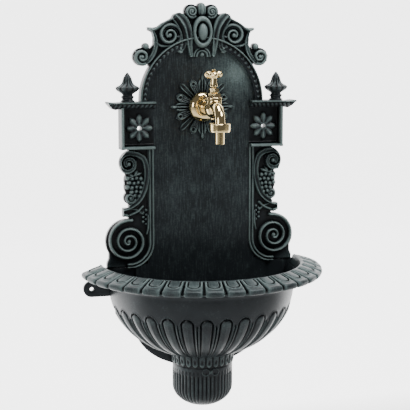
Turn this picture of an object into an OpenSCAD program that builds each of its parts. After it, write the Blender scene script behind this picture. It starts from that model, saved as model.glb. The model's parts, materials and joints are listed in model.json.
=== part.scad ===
// Wall-hung drinking fountain: a cast back plate with an arched head, a half-round cast bowl with a
// pendant below it, and a brass bib tap with a hose union.
// +Z is up, +X is to the right seen from the front, the wall is the plane y = 0 and the fountain
// stands out from it towards -Y. The origin is midway between the two upper wall holes.

/* [Back plate] */
// Thickness of the cast sheet
sheet_t = 5; // [4:0.5:7]
// Distance from the wall to the front of the centre panel
panel_d = 13; // [12.5:0.5:18]
// Half width between the outer faces of the two shoulder blocks
block_half = 142; // [134:1:171]
// Height of the lower edge of the shoulder blocks, below the wall holes
block_drop = 35; // [28:1:45]
// Distance from the wall to the front of the raised block rims
rim_d = 28; // [22:1:34]
// Height of the cornice tops above the wall holes
cornice_rise = 44.5; // [38:0.5:56]
// Height of the cornice moulding
cornice_h = 12; // [10:0.5:14]
// Distance from the wall to the front of the cornices
cornice_d = 34; // [32:1:42]
// How far each cornice end stands out past its block
cornice_over = 22; // [12:1:28]
// Outer radius of the arch
arch_r = 107.5; // [95:0.5:125]
// Radial width of the arch moulding
arch_band = 14; // [10:1:20]
// Distance from the wall to the front of the arch moulding
arch_d = 20; // [18:1:26]
// Depth of the tongue of the plate that hangs inside the bowl, below the rim
tongue_drop = 92; // [60:1:105]

/* [Side scrolls] */
// Half width to the outside of the grape clusters
grape_half = 134; // [124:1:150]
// Radius of the upper curl
curl_r = 22; // [16:1:24]
// Radius of the large lower scroll
scroll_r = 35; // [28:0.5:38]
// Half width between the centres of the lower scrolls
scroll_half = 128; // [120:1:140]
// Distance from the wall to the ground of the scroll work
scroll_ground_d = 8; // [7:0.5:10]
// Distance from the wall to the front of the scroll work
scroll_d = 19; // [14:0.5:24]

/* [Crest] */
// Half height of the oval cabochon frame
cabochon_h = 24; // [18:0.5:28]
// Half width of the oval cabochon frame
cabochon_w = 17; // [13:0.5:20]
// Distance from the wall to the front of the crest
crest_d = 16; // [12:0.5:20]

/* [Wall holes] */
// Spacing of the two upper wall holes
upper_hole_pitch = 219; // [200:1:226]
// Spacing of the two lower wall holes in the bowl's ears
lower_hole_pitch = 384; // [370:1:390]
// Radius of the wall holes
wall_hole_r = 3.5; // [2.5:0.25:4.5]

/* [Bowl] */
// Outer radius of the rolled rim
rim_r = 210.5; // [195:0.5:235]
// Radius of the inner edge of the rim
rim_inner_r = 175; // [172:0.5:180]
// Height of the rim's outer edge, below the wall holes
rim_drop = 250; // [240:1:300]
// Fall of the rim from its inner to its outer edge
rim_fall = 19; // [10:0.5:22]
// Outer radius of the bowl under its rim
bowl_r = 161.5; // [156:0.5:166]
// Height from the rim's outer edge down to the underside of the bowl
bowl_h = 140; // [125:1:165]
// Thickness of the bowl's wall
bowl_t = 7; // [6:0.5:9]
// Thickness of the flat back of the bowl
bowl_back_t = 8; // [6:0.5:8]
// Distance from the wall to the centre of the bowl's round
bowl_centre_d = 6; // [2:0.5:10]

/* [Pendant] */
// Radius of the reeded shaft
pendant_r = 52.5; // [48:0.5:63]
// Height of the pendant
pendant_h = 96.5; // [90:0.5:115]
// Wall thickness of the pendant
pendant_t = 5; // [4:0.5:6]
// Distance from the wall to the centre of the pendant
pendant_centre_d = 16; // [14:0.5:22]
// Distance from the wall to the centre of the drain
drain_d = 34; // [30:0.5:36]
// Radius of the drain thread, one inch pipe
drain_thread_r = 16.6; // [13:0.1:17]

/* [Finials] */
// Radius of the brim of each bud
finial_r = 19.8; // [15:0.2:20]
// Height of each finial
finial_h = 48.5; // [40:0.5:60]

/* [Tap] */
// Height of the tap's axis above the wall holes
tap_rise = 34.5; // [20:0.5:60]
// Radius of the rosette behind the tap
rosette_r = 56; // [40:1:68]
// Thickness of the rosette's hub
rosette_t = 7; // [5:0.5:9]
// Radius of the half inch inlet thread
inlet_r = 10.48; // [9:0.02:12.6]
// How far the inlet thread passes behind the wall's face
inlet_reach = 10; // [6:0.5:16]
// Distance from the wall to the valve's upright axis
valve_d = 84; // [76:0.5:95]
// Distance from the wall to the spout's outlet
spout_d = 120; // [116:0.5:130]
// Radius of the three quarter inch outlet thread
outlet_r = 13.22; // [12:0.02:14]
// Travel of the valve from shut to fully open
valve_lift = 4; // [2:0.5:4]
// Length of the T handle between the centres of its ball ends
handle_l = 44; // [30:1:60]
// Angle of the T handle when the tap is shut
handle_turn = 50; // [0:1:90]

/* [Fits] */
// Running clearance of a thread or a stem in its hole
run_gap = 0.05; // [0.03:0.01:0.08]
// Clearance of a shank through a plain hole
pass_gap = 0.5; // [0.3:0.05:0.8]
// Gap between castings that meet
joint_gap = 0.4; // [0.2:0.1:0.6]

/* [Hidden] */
$fn = 64;
sides = [-1, 1];
cast_colour = "#3d4546";
cast_light = "#5b6868";
brass = "#c9a54a";
steel = "#9aa0a4";
rubber = "#26282a";

// Heights shared by pieces that meet
block_z = -block_drop;
cornice_z = cornice_rise;
cornice_half = block_half + cornice_over;
rim_z = -rim_drop;
rim_top_z = rim_z + rim_fall;
bowl_floor_z = rim_z - bowl_h;
foot_z = rim_top_z - 5.5;
tongue_z = rim_z + 12 - tongue_drop;
tongue_half = 116;
curl_z = block_z - curl_r - 1.5;
curl_half = block_half - curl_r;
grape_z = block_z - 68;
small_curl_z = block_z - 82;
bracket_z = block_z - 107;
scroll_z = block_z - 155;

// How deep raised work is sunk into what it stands on
root = 1.2;

// Centre panel and its double ridge
panel_half = 97;
ridge_w = 3;
ridge_h = 3.5;
ridge_at = [84.5, 91];
block_rim_w = 5;
star_h = 5;

// Cabochon on the crown of the arch
crest_z = cornice_z + arch_r + 7;
crown_z = crest_z + 39;

// Bowl profile
body_z = rim_z - 18;
body_drop = 131;
back_foot_z = bowl_floor_z - 30;
back_half = 118;
back_round = 80;
floor_r = bowl_r * sqrt(1 - pow((body_z - bowl_floor_z) / body_drop, 2));
inner_floor_z = bowl_floor_z + bowl_t;
ear_z = rim_z - 22;
ear_r = 14;
ear_t = 6;
bolt_r = 3;
bolt_at = [[-95, -42], [95, -42], [-70, -78], [70, -78]];
bolt_head_r = 5.77;
bolt_head_h = 4;
bolt_washer_r = 6.5;
bolt_washer_t = 1.6;

// Pendant and drain
collar_r = pendant_r + 3.5;
collar_h = 16;
pendant_plate_t = 6;
pendant_top_z = bowl_floor_z;
pendant_end_z = pendant_top_z - pendant_h;
pendant_round = 36.5;
drain_flange_r = drain_d - bowl_back_t - 1;
drain_flange_t = 3;
drain_gasket_t = 2;
drain_bore_r = drain_thread_r - 3;
drain_top_z = inner_floor_z + drain_gasket_t;
drain_tail_z = pendant_top_z - 32;
drain_nut_t = 8;
drain_washer_t = 2;
strainer_r = 21;
strainer_t = 1.5;
strainer_screw_r = 2.5;
elbow_r = 14;
elbow_t = 2;
elbow_bend = 20;
elbow_socket_r = drain_thread_r + 3.5;
elbow_socket_h = 12;
drain_out_z = drain_tail_z - 4 - elbow_bend;

// Finials
finial_d = finial_r + 0.5;
finial_half = (block_half + panel_half) / 2 + 10.5;
stud_r = 3;
stud_l = 18;

// Tap, as heights and distances from its own axes
tap_z = tap_rise;
rosette_front_d = panel_d + rosette_t;
flange_t = 11;
flange_r = 24;
shoulder_d = rosette_front_d + flange_t;
barrel_r = 11;
relief_w = 1.5;
relief_depth = 0.8;
lock_washer_t = 1.5;
locknut_t = 5;
locknut_af = 29;
chamber_r = 14;
body_top_z = tap_z + 19;
seat_z = tap_z + 3.5;
seat_r = 5;
inlet_bore_r = 5.5;
inlet_bore_z = seat_z - 2.5 - inlet_bore_r;
valve_bore_r = 9;
bonnet_thread_r = 10;
bonnet_foot_z = seat_z + 8.5 + (valve_lift - 4);
bonnet_washer_t = 1;
bonnet_z = body_top_z + bonnet_washer_t;
bonnet_hex_h = 5.5;
bonnet_af = 23;
neck_r = 7.9;
neck_top_z = bonnet_z + bonnet_hex_h + 5;
packing_r = 6.5;
packing_h = 3.2;
packing_z = bonnet_z + bonnet_hex_h;
gland_z = neck_top_z - 3.5;
gland_h = 6.5;
gland_lip = 2;
gland_af = 19;
stem_r = 4;
spindle_thread_r = 5;
spindle_foot_z = seat_z + 4.3;
spindle_thread_top_z = packing_z - valve_lift - 0.5;
square_w = 6;
jumper_r = 7;
jumper_washer_t = 2;
jumper_plate_t = 2;
jumper_stem_r = 2.5;
jumper_screw_r = 2;
seat_gap = 0.05;
handle_z = tap_z + 55.5;
handle_foot_z = gland_z + gland_h + 2.5;
handle_column_r = 6;
handle_hub_r = 7.5;
handle_bar_r = 3.4;
handle_ball_r = 6.1;
spout_z = seat_z + 4.5;
spout_bend = spout_d - valve_d - 10;
spout_r = 9.5;
spout_bore_r = 4.8;
outlet_z = tap_z - 29;
outlet_thread_h = 9.5;
union_r = 17.3;
union_h = 13.5;
union_lip = 2;
hose_flange_t = 2;
hose_washer_t = 2;
hose_r = 7.5;
hose_collar_r = hose_r + 0.2;
hose_bore_r = 5.5;
hose_l = 20;

// A flat drawing in x and z, carried out from the wall: from `from` mm to `to` mm in front of it
module out(from, to) {
    translate([0, -from, 0])
        rotate([90, 0, 0])
            linear_extrude(to - from)
                children();
}

// Both hands of a drawing
module both() {
    for (s = sides)
        scale([s, 1])
            children();
}

// A rectangle between two corners
module slab(x0, z0, x1, z1) {
    translate([x0, z0])
        square([x1 - x0, z1 - z0]);
}

// An upright hexagonal prism across its flats
module hex(af, h) {
    cylinder(r = af / sqrt(3), h = h, $fn = 6);
}

// Points of an ellipse, from angle a0 to a1
function arc(cx, cy, rx, ry, a0, a1, n) =
    [for (i = [0 : n]) [cx + rx * cos(a0 + (a1 - a0) * i / n), cy + ry * sin(a0 + (a1 - a0) * i / n)]];

// A spiral band of width w that closes from radius r0 to r1 over some turns
module spiral(r0, r1, turns, w, start) {
    n = round(20 * turns);
    function at(i, side) =
        let (f = i / n, r = r0 + (r1 - r0) * f - side * w * (1 - 0.5 * f), a = start + 360 * turns * f)
        [r * cos(a), r * sin(a)];
    polygon(concat([for (i = [0 : n]) at(i, 0)], [for (i = [n : -1 : 0]) at(i, 1)]));
}

// --- Back plate ---------------------------------------------------------------------------------

// The outline of the centre of the plate, drawn in by `inset`
module centre_outline(inset) {
    intersection() {
        translate([0, cornice_z])
            circle(r = arch_r - inset, $fn = 112);
        slab(-arch_r, cornice_z - 1, arch_r, cornice_z + arch_r);
    }
    slab(-panel_half + inset, foot_z + inset, panel_half - inset, cornice_z);
}

// The outline of the two shoulder blocks
module block_outline(inset) {
    both()
        slab(panel_half - sheet_t, block_z + inset, block_half - inset, cornice_z - cornice_h + 1);
}

// The outline of the two side scrolls, from the blocks down to the foot
module scroll_outline(inset) {
    both() {
        slab(panel_half - sheet_t, foot_z + inset, grape_half - 6 - inset, block_z + sheet_t);
        translate([curl_half, curl_z])
            circle(r = curl_r - inset);
        translate([grape_half - 20, grape_z])
            circle(r = 20 - inset);
        translate([grape_half - 13, small_curl_z])
            circle(r = 13 - inset);
        slab(panel_half, bracket_z - 12 + inset, grape_half + 4 - inset, bracket_z - inset);
        translate([scroll_half, scroll_z])
            circle(r = scroll_r - inset);
        slab(panel_half, foot_z + inset, rim_inner_r - 9.5 - inset, foot_z + 15 - inset);
    }
}

// The outline of the crest that crowns the arch
module crest_outline() {
    both() {
        translate([17, crown_z - 6])
            circle(r = 12);
        translate([37, crown_z - 28])
            circle(r = 19);
        translate([56, crown_z - 41])
            circle(r = 24);
        polygon([[0, cornice_z + arch_r - 4], [0, crown_z], [22, crown_z - 4], [58, crown_z - 19],
            [74, crown_z - 28], [92, crown_z - 32], [92, crown_z - 37], [84, crown_z - 42],
            [81, crown_z - 60], [92, crown_z - 68], [84, crown_z - 94], [60, crown_z - 76]]);
        translate([103, crown_z - 77])
            circle(r = 14.5);
        translate([95, crown_z - 60])
            circle(r = 6);
    }
    translate([0, crown_z])
        circle(r = 10.5);
    polygon([[-34, crown_z - 40], [-22, crown_z - 78], [22, crown_z - 78], [34, crown_z - 40]]);
}

// An eight-petalled star with a through hole at its centre
module star() {
    for (i = [0 : 7])
        rotate(45 * i)
            polygon([[4, 0], [11, 4.2], [24.5, 0], [11, -4.2]]);
    circle(r = 8);
}

module scroll_work() {
    both() {
        translate([curl_half - 4, curl_z])
            scale([-1, 1])
                spiral(25, 4, 1.6, 5, 180);
        for (row = [0 : 4])
            for (col = [0 : 2 - floor(row / 3)])
                translate([grape_half - 32 + 9 * col + 4 * (row % 2), grape_z + 15 - 8 * row])
                    circle(r = 4.6, $fn = 24);
        translate([grape_half - 13, small_curl_z])
            difference() {
                circle(r = 12);
                circle(r = 8);
            }
        slab(panel_half + 4, bracket_z - 6, grape_half + 4, bracket_z);
        translate([scroll_half, scroll_z])
            scale([-1, 1])
                spiral(scroll_r - 0.2, 5, 2.5, 6, 90);
    }
}

module back_plate() {
    color(cast_colour)
        difference() {
            union() {
                difference() {
                    out(0, panel_d) {
                        centre_outline(0);
                        block_outline(0);
                    }
                    out(-1, panel_d - sheet_t) {
                        centre_outline(sheet_t);
                        block_outline(sheet_t);
                    }
                }
                difference() {
                    out(0, scroll_ground_d)
                        scroll_outline(0);
                    out(-1, scroll_ground_d - sheet_t)
                        scroll_outline(sheet_t);
                    out(-1, panel_d)
                        centre_outline(sheet_t);
                }
                // the tongue that hangs in the bowl
                out(bowl_back_t, panel_d)
                    slab(-tongue_half, tongue_z, tongue_half, foot_z + sheet_t + 1);
                // solid cornices with flared ends
                out(0, cornice_d)
                    both()
                        polygon([[arch_r - arch_band, cornice_z - cornice_h],
                            [block_half, cornice_z - cornice_h], [cornice_half - 6, cornice_z - cornice_h + 2],
                            [cornice_half, cornice_z - 3], [cornice_half, cornice_z],
                            [arch_r - arch_band, cornice_z]]);
                // arch moulding
                out(panel_d - sheet_t, arch_d)
                    intersection() {
                        translate([0, cornice_z])
                            difference() {
                                circle(r = arch_r, $fn = 112);
                                circle(r = arch_r - arch_band, $fn = 112);
                            }
                        slab(-arch_r, cornice_z - 1, arch_r, cornice_z + arch_r);
                    }
                // raised rims of the shoulder blocks and the double ridge of the panel
                out(panel_d - sheet_t, rim_d)
                    both() {
                        slab(block_half - block_rim_w, block_z, block_half, cornice_z - cornice_h + 1);
                        slab(ridge_at[0], block_z, block_half, block_z + block_rim_w);
                    }
                out(panel_d - sheet_t, panel_d + ridge_h)
                    both()
                        for (x = ridge_at)
                            slab(x, scroll_z, x + ridge_w, block_z + 1);
                out(panel_d - root, panel_d + star_h)
                    both()
                        translate([upper_hole_pitch / 2, 0])
                            star();
                // posts behind the wall holes
                out(0, panel_d)
                    both()
                        translate([upper_hole_pitch / 2, 0])
                            circle(r = wall_hole_r + 5);
                // scroll work
                out(scroll_ground_d - root, scroll_d)
                    scroll_work();
                // crest with its cabochon
                out(0, crest_d)
                    crest_outline();
                out(crest_d - root, crest_d + 8)
                    translate([0, crest_z])
                        polygon(arc(0, 0, cabochon_w, cabochon_h, 0, 360, 48));
                out(crest_d, crest_d + 13)
                    translate([0, crest_z])
                        polygon(arc(0, 0, cabochon_w - 6, cabochon_h - 6, 0, 360, 40));
            }
            for (s = sides) {
                // wall holes
                translate([s * upper_hole_pitch / 2, 1, 0])
                    rotate([90, 0, 0])
                        cylinder(r = wall_hole_r, h = rim_d + 2);
                // tapped holes for the finial studs
                translate([s * finial_half, -finial_d, cornice_z - stud_l / 2])
                    cylinder(r = stud_r + run_gap, h = stud_l);
            }
            // hole for the tap's shank
            translate([0, 1, tap_z])
                rotate([90, 0, 0])
                    cylinder(r = inlet_r + pass_gap, h = panel_d + 2);
            // holes for the bowl bolts
            for (p = bolt_at)
                translate([p[0], 1, rim_z + p[1]])
                    rotate([90, 0, 0])
                        cylinder(r = bolt_r + pass_gap, h = panel_d + 2);
        }
}

module tap_rosette() {
    color(cast_light)
        difference() {
            union() {
                out(panel_d, panel_d + rosette_t - 2)
                    translate([0, tap_z])
                        for (i = [0 : 15])
                            rotate(22.5 * i)
                                polygon([[14, 0], [22, 5.5], [rosette_r - 10 - 5 * (i % 2), 6 - 2 * (i % 2)],
                                    [rosette_r - 5 * (i % 2), 0],
                                    [rosette_r - 10 - 5 * (i % 2), -6 + 2 * (i % 2)], [22, -5.5]]);
                out(panel_d, rosette_front_d)
                    translate([0, tap_z])
                        circle(r = flange_r - 2);
            }
            translate([0, 1, tap_z])
                rotate([90, 0, 0])
                    cylinder(r = inlet_r + pass_gap, h = rosette_front_d + 2);
        }
}

// --- Finials ------------------------------------------------------------------------------------

module finial(s) {
    color(cast_light)
        translate([s * finial_half, -finial_d, cornice_z])
            difference() {
                rotate_extrude()
                    polygon([[0, 0], [finial_r * 0.56, 0], [finial_r * 0.56, 3], [finial_r * 0.46, 5],
                        [finial_r * 0.54, 8], [finial_r * 0.45, 11], [finial_r * 0.5, 15],
                        [finial_r * 0.93, 19], [finial_r, 23], [finial_r * 0.9, 25.5],
                        [finial_r * 0.5, 30], [finial_r * 0.4, 36], [finial_r * 0.2, finial_h - 5],
                        [0, finial_h]]);
                translate([0, 0, -1])
                    cylinder(r = stud_r + run_gap, h = stud_l / 2 + 1);
            }
}

module finial_left() {
    finial(-1);
}

module finial_right() {
    finial(1);
}

module finial_studs() {
    color(steel)
        for (s = sides)
            translate([s * finial_half, -finial_d, cornice_z - stud_l / 2 + 0.5])
                cylinder(r = stud_r, h = stud_l - 1);
}

// --- Bowl ---------------------------------------------------------------------------------------

// Half section of the bowl: radius across, height up
module bowl_section() {
    polygon(concat(
        [[0, bowl_floor_z]],
        arc(0, body_z, bowl_r, body_drop, 270 + asin(floor_r / bowl_r), 360, 14),
        arc(rim_r - 8, body_z, rim_r - 8 - bowl_r, rim_z - 7 - body_z, 180, 90, 10),
        arc(rim_r - 6, rim_z - 1, 6, 6, -70, 60, 4),
        arc(rim_inner_r + 1, rim_top_z - 5, 5, 5, 70, 150, 4),
        arc(rim_inner_r - 5, body_z, rim_inner_r - 5 - bowl_r + bowl_t, rim_top_z - 6 - body_z, 100, 180, 10),
        arc(0, body_z, bowl_r - bowl_t, body_drop - bowl_t, 360, 270 + asin(floor_r / bowl_r), 14),
        [[0, inner_floor_z]]));
}

// The flat back of the bowl, with its two ears
module bowl_back() {
    polygon(arc(0, body_z, bowl_r - 2, body_drop - 2, 180, 360, 64));
    polygon(arc(0, back_foot_z + back_round, back_half, back_round, 180, 360, 64));
    polygon([[-bowl_r + 2, body_z - 1], [bowl_r - 2, body_z - 1],
        [rim_inner_r - 3, foot_z - joint_gap], [-rim_inner_r + 3, foot_z - joint_gap]]);
}

module bowl_ears() {
    both() {
        translate([lower_hole_pitch / 2, ear_z])
            circle(r = ear_r);
        slab(bowl_r - bowl_t, ear_z - ear_r, lower_hole_pitch / 2, ear_z + ear_r);
    }
}

module bowl() {
    color(cast_light)
        difference() {
            union() {
                translate([0, -bowl_centre_d, 0])
                    rotate([0, 0, 180])
                        rotate_extrude(angle = 180, $fn = 128)
                            bowl_section();
                out(0, bowl_centre_d)
                    both()
                        bowl_section();
                out(0, bowl_back_t)
                    bowl_back();
                out(0, ear_t)
                    bowl_ears();
            }
            for (s = sides)
                translate([s * lower_hole_pitch / 2, 1, ear_z])
                    rotate([90, 0, 0])
                        cylinder(r = wall_hole_r, h = ear_t + 2);
            for (p = bolt_at)
                translate([p[0], 1, rim_z + p[1]])
                    rotate([90, 0, 0])
                        cylinder(r = bolt_r + run_gap, h = bowl_back_t + 2);
            translate([0, -drain_d, bowl_floor_z - 1])
                cylinder(r = drain_thread_r + pass_gap, h = bowl_t + 2);
        }
}

module bowl_bolts() {
    color(steel)
        for (p = bolt_at)
            translate([p[0], -0.5, rim_z + p[1]])
                rotate([90, 0, 0]) {
                    cylinder(r = bolt_r, h = panel_d + bolt_washer_t - 0.5);
                    translate([0, 0, panel_d + bolt_washer_t - 0.5])
                        cylinder(r = bolt_head_r, h = bolt_head_h, $fn = 6);
                }
}

module bowl_washers() {
    color(steel)
        for (p = bolt_at)
            translate([p[0], -panel_d, rim_z + p[1]])
                rotate([90, 0, 0])
                    difference() {
                        cylinder(r = bolt_washer_r, h = bolt_washer_t);
                        translate([0, 0, -1])
                            cylinder(r = bolt_r + 0.2, h = bolt_washer_t + 2);
                    }
}

// --- Pendant and drain --------------------------------------------------------------------------

module pendant() {
    shaft_z = pendant_end_z + pendant_round;
    color(cast_light)
        difference() {
            translate([0, -pendant_centre_d, 0])
                rotate_extrude()
                    polygon(concat(
                        [[0, pendant_end_z]],
                        arc(0, shaft_z, pendant_r, pendant_round, 275, 360, 12),
                        [[pendant_r, pendant_top_z - collar_h - 1]],
                        arc(pendant_r, pendant_top_z - collar_h / 2, collar_r - pendant_r,
                            collar_h / 2, -80, 80, 8),
                        [[pendant_r, pendant_top_z], [0, pendant_top_z],
                            [0, pendant_top_z - pendant_plate_t],
                            [pendant_r - pendant_t, pendant_top_z - pendant_plate_t]],
                        arc(0, shaft_z, pendant_r - pendant_t, pendant_round - pendant_t, 360, 275, 12),
                        [[0, pendant_end_z + pendant_t]]));
            // open at the wall, with a notch round the back of the bowl
            translate([-100, 0, pendant_end_z - 1])
                cube([200, 100, pendant_h + 2]);
            translate([-100, -bowl_back_t - joint_gap, back_foot_z - joint_gap])
                cube([200, 100, pendant_top_z - back_foot_z + 2]);
            translate([0, -drain_d, pendant_top_z - pendant_plate_t - 1])
                cylinder(r = drain_thread_r + pass_gap, h = pendant_plate_t + 2);
        }
}

module drain_body() {
    bar_w = 8;
    color(brass)
        translate([0, -drain_d, 0]) {
            difference() {
                union() {
                    translate([0, 0, drain_top_z])
                        cylinder(r = drain_flange_r, h = drain_flange_t);
                    translate([0, 0, drain_tail_z])
                        cylinder(r = drain_thread_r, h = drain_top_z - drain_tail_z + 1);
                }
                translate([0, 0, drain_tail_z - 1])
                    cylinder(r = drain_bore_r, h = 100);
                translate([0, 0, drain_top_z + drain_flange_t - strainer_t])
                    cylinder(r = strainer_r + 0.3, h = strainer_t + 1);
            }
            // the bar that takes the strainer screw
            difference() {
                intersection() {
                    translate([-drain_bore_r - 1, -bar_w / 2, drain_top_z - 6])
                        cube([2 * drain_bore_r + 2, bar_w, 5]);
                    translate([0, 0, drain_top_z - 7])
                        cylinder(r = drain_bore_r + 0.5, h = 8);
                }
                translate([0, 0, drain_top_z - 8])
                    cylinder(r = strainer_screw_r + run_gap, h = 10);
            }
        }
}

module drain_gasket() {
    color(rubber)
        translate([0, -drain_d, inner_floor_z])
            difference() {
                cylinder(r = drain_flange_r - 1, h = drain_gasket_t);
                translate([0, 0, -1])
                    cylinder(r = drain_thread_r + 0.2, h = drain_gasket_t + 2);
            }
}

module drain_strainer() {
    slot_r = 1.8;
    color(brass)
        translate([0, -drain_d, drain_top_z + drain_flange_t - strainer_t])
            difference() {
                cylinder(r = strainer_r, h = strainer_t);
                translate([0, 0, -1])
                    cylinder(r = strainer_screw_r + 0.2, h = strainer_t + 2);
                for (ring = [[6, 6.9], [12, 11.2]])
                    for (i = [0 : ring[0] - 1])
                        rotate(360 * i / ring[0])
                            translate([ring[1], 0, -1])
                                cylinder(r = slot_r, h = strainer_t + 2, $fn = 24);
            }
}

module strainer_screw() {
    color(brass)
        translate([0, -drain_d, drain_top_z - 6.5]) {
            cylinder(r = strainer_screw_r, h = drain_flange_t + 6.5);
            translate([0, 0, drain_flange_t + 6.5])
                rotate_extrude($fn = 32)
                    polygon([[0, 0], [4.6, 0], [4.2, 1.4], [2.6, 2.4], [0, 2.7]]);
        }
}

module drain_washer() {
    color(steel)
        translate([0, -drain_d, pendant_top_z - pendant_plate_t - drain_washer_t])
            difference() {
                cylinder(r = drain_thread_r + 7, h = drain_washer_t);
                translate([0, 0, -1])
                    cylinder(r = drain_thread_r + 0.2, h = drain_washer_t + 2);
            }
}

module drain_nut() {
    color(brass)
        translate([0, -drain_d, pendant_top_z - pendant_plate_t - drain_washer_t - drain_nut_t])
            difference() {
                hex(2 * drain_thread_r + 9, drain_nut_t);
                translate([0, 0, -1])
                    cylinder(r = drain_thread_r + run_gap, h = drain_nut_t + 2);
            }
}

module drain_elbow() {
    color("#d9dad6")
        difference() {
            union() {
                translate([0, -drain_d, drain_tail_z])
                    cylinder(r = elbow_socket_r, h = elbow_socket_h - 0.5);
                translate([0, -drain_d, drain_tail_z - 4])
                    cylinder(r = elbow_socket_r, h = 5);
                translate([0, -drain_d + elbow_bend, drain_tail_z - 4])
                    rotate([0, 90, 180])
                        rotate_extrude(angle = 90)
                            translate([elbow_bend, 0])
                                circle(r = elbow_r);
                translate([0, 0, drain_out_z])
                    rotate([90, 0, 0])
                        cylinder(r = elbow_r, h = drain_d - elbow_bend);
            }
            translate([0, -drain_d, drain_tail_z])
                cylinder(r = drain_thread_r + run_gap, h = elbow_socket_h + 1);
            translate([0, -drain_d, drain_tail_z - 4])
                cylinder(r = elbow_r - elbow_t, h = 6);
            translate([0, -drain_d + elbow_bend, drain_tail_z - 4])
                rotate([0, 90, 180])
                    rotate_extrude(angle = 90)
                        translate([elbow_bend, 0])
                            circle(r = elbow_r - elbow_t);
            translate([0, 1, drain_out_z])
                rotate([90, 0, 0])
                    cylinder(r = elbow_r - elbow_t, h = drain_d - elbow_bend + 1);
        }
}

// --- Tap ----------------------------------------------------------------------------------------

// Along the inlet's axis, from `from` mm to `to` mm in front of the wall
module along_inlet(from, to, r) {
    translate([0, -from, tap_z])
        rotate([90, 0, 0])
            cylinder(r = r, h = to - from);
}

module tap_body() {
    color(brass)
        difference() {
            union() {
                // the inlet's thread, a thread relief, and the thread of the lock nut
                along_inlet(-inlet_reach, 0, inlet_r);
                along_inlet(-1, relief_w + 1, inlet_r - relief_depth);
                along_inlet(relief_w, shoulder_d + 1, inlet_r);
                along_inlet(shoulder_d, shoulder_d + 5, barrel_r + 2);
                along_inlet(shoulder_d + 4, valve_d, barrel_r);
                translate([0, -valve_d, tap_z])
                    sphere(r = chamber_r + 1);
                translate([0, -valve_d, tap_z])
                    cylinder(r = chamber_r, h = body_top_z - tap_z);
                translate([0, -valve_d, tap_z - chamber_r - 4])
                    cylinder(r = 5, h = 8);
                // spout: a short run, a quarter bend and the threaded outlet
                translate([0, -valve_d, spout_z])
                    rotate([90, 0, 0])
                        cylinder(r = spout_r, h = 10);
                translate([0, -valve_d - 10, spout_z - spout_bend])
                    rotate([0, -90, 0])
                        rotate([0, 0, -90])
                            rotate_extrude(angle = 90)
                                translate([spout_bend, 0])
                                    circle(r = spout_r);
                translate([0, -spout_d, outlet_z])
                    cylinder(r = spout_r, h = spout_z - spout_bend - outlet_z);
                translate([0, -spout_d, outlet_z])
                    cylinder(r = outlet_r, h = outlet_thread_h);
            }
            // water way: inlet, seat, valve chamber, spout
            translate([0, inlet_reach + 1, inlet_bore_z])
                rotate([90, 0, 0])
                    cylinder(r = inlet_bore_r, h = valve_d + inlet_reach + 1);
            translate([0, -valve_d, inlet_bore_z])
                cylinder(r = seat_r, h = seat_z - inlet_bore_z + 1);
            translate([0, -valve_d, seat_z])
                cylinder(r = valve_bore_r, h = 40);
            translate([0, -valve_d, bonnet_foot_z - 0.5])
                cylinder(r = bonnet_thread_r, h = 40);
            translate([0, -valve_d - seat_r - 2, spout_z])
                rotate([90, 0, 0])
                    cylinder(r = spout_bore_r, h = 8 - seat_r);
            translate([0, -valve_d - 10, spout_z - spout_bend])
                rotate([0, -90, 0])
                    rotate([0, 0, -90])
                        rotate_extrude(angle = 90)
                            translate([spout_bend, 0])
                                circle(r = spout_bore_r);
            translate([0, -spout_d, outlet_z - 1])
                cylinder(r = spout_bore_r, h = spout_z - spout_bend - outlet_z + 1);
        }
}

module tap_flange() {
    color(brass)
        translate([0, -rosette_front_d, tap_z])
            rotate([90, 0, 0])
                rotate_extrude()
                    polygon(concat([[inlet_r + pass_gap, 0], [flange_r, 0]],
                        arc(flange_r - 8, 2, 8, 5, 0, 80, 6),
                        arc(barrel_r + 6, flange_t, 3, 4, 260, 180, 4),
                        [[inlet_r + pass_gap, flange_t]]));
}

module tap_washer() {
    color(steel)
        translate([0, -(panel_d - sheet_t) + lock_washer_t, tap_z])
            rotate([90, 0, 0])
                difference() {
                    cylinder(r = inlet_r + 7, h = lock_washer_t);
                    translate([0, 0, -1])
                        cylinder(r = inlet_r + 0.2, h = 4);
                }
}

module tap_locknut() {
    color(brass)
        translate([0, -(panel_d - sheet_t) + lock_washer_t + locknut_t, tap_z])
            rotate([90, 0, 0])
                difference() {
                    hex(locknut_af, locknut_t);
                    translate([0, 0, -1])
                        cylinder(r = inlet_r + run_gap, h = 8);
                }
}

// A piece turned on the valve's upright axis
module on_valve(z) {
    translate([0, -valve_d, z])
        children();
}

module bonnet() {
    color(brass)
        on_valve(0)
            difference() {
                union() {
                    translate([0, 0, bonnet_foot_z])
                        cylinder(r = bonnet_thread_r - run_gap, h = bonnet_z - bonnet_foot_z + 1);
                    translate([0, 0, bonnet_z])
                        hex(bonnet_af, bonnet_hex_h);
                    translate([0, 0, bonnet_z])
                        cylinder(r = neck_r, h = neck_top_z - bonnet_z);
                }
                translate([0, 0, bonnet_foot_z - 1])
                    cylinder(r = spindle_thread_r + run_gap, h = packing_z - bonnet_foot_z + 2);
                translate([0, 0, packing_z])
                    cylinder(r = packing_r, h = 20);
            }
}

module bonnet_washer() {
    color("#8a3b2c")
        on_valve(body_top_z)
            difference() {
                cylinder(r = chamber_r - 1, h = bonnet_washer_t);
                translate([0, 0, -1])
                    cylinder(r = bonnet_thread_r + 0.1, h = bonnet_washer_t + 2);
            }
}

module gland_packing() {
    color("#d8d2c0")
        on_valve(packing_z)
            difference() {
                cylinder(r = packing_r - run_gap, h = packing_h);
                translate([0, 0, -1])
                    cylinder(r = stem_r + run_gap, h = packing_h + 2);
            }
}

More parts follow.
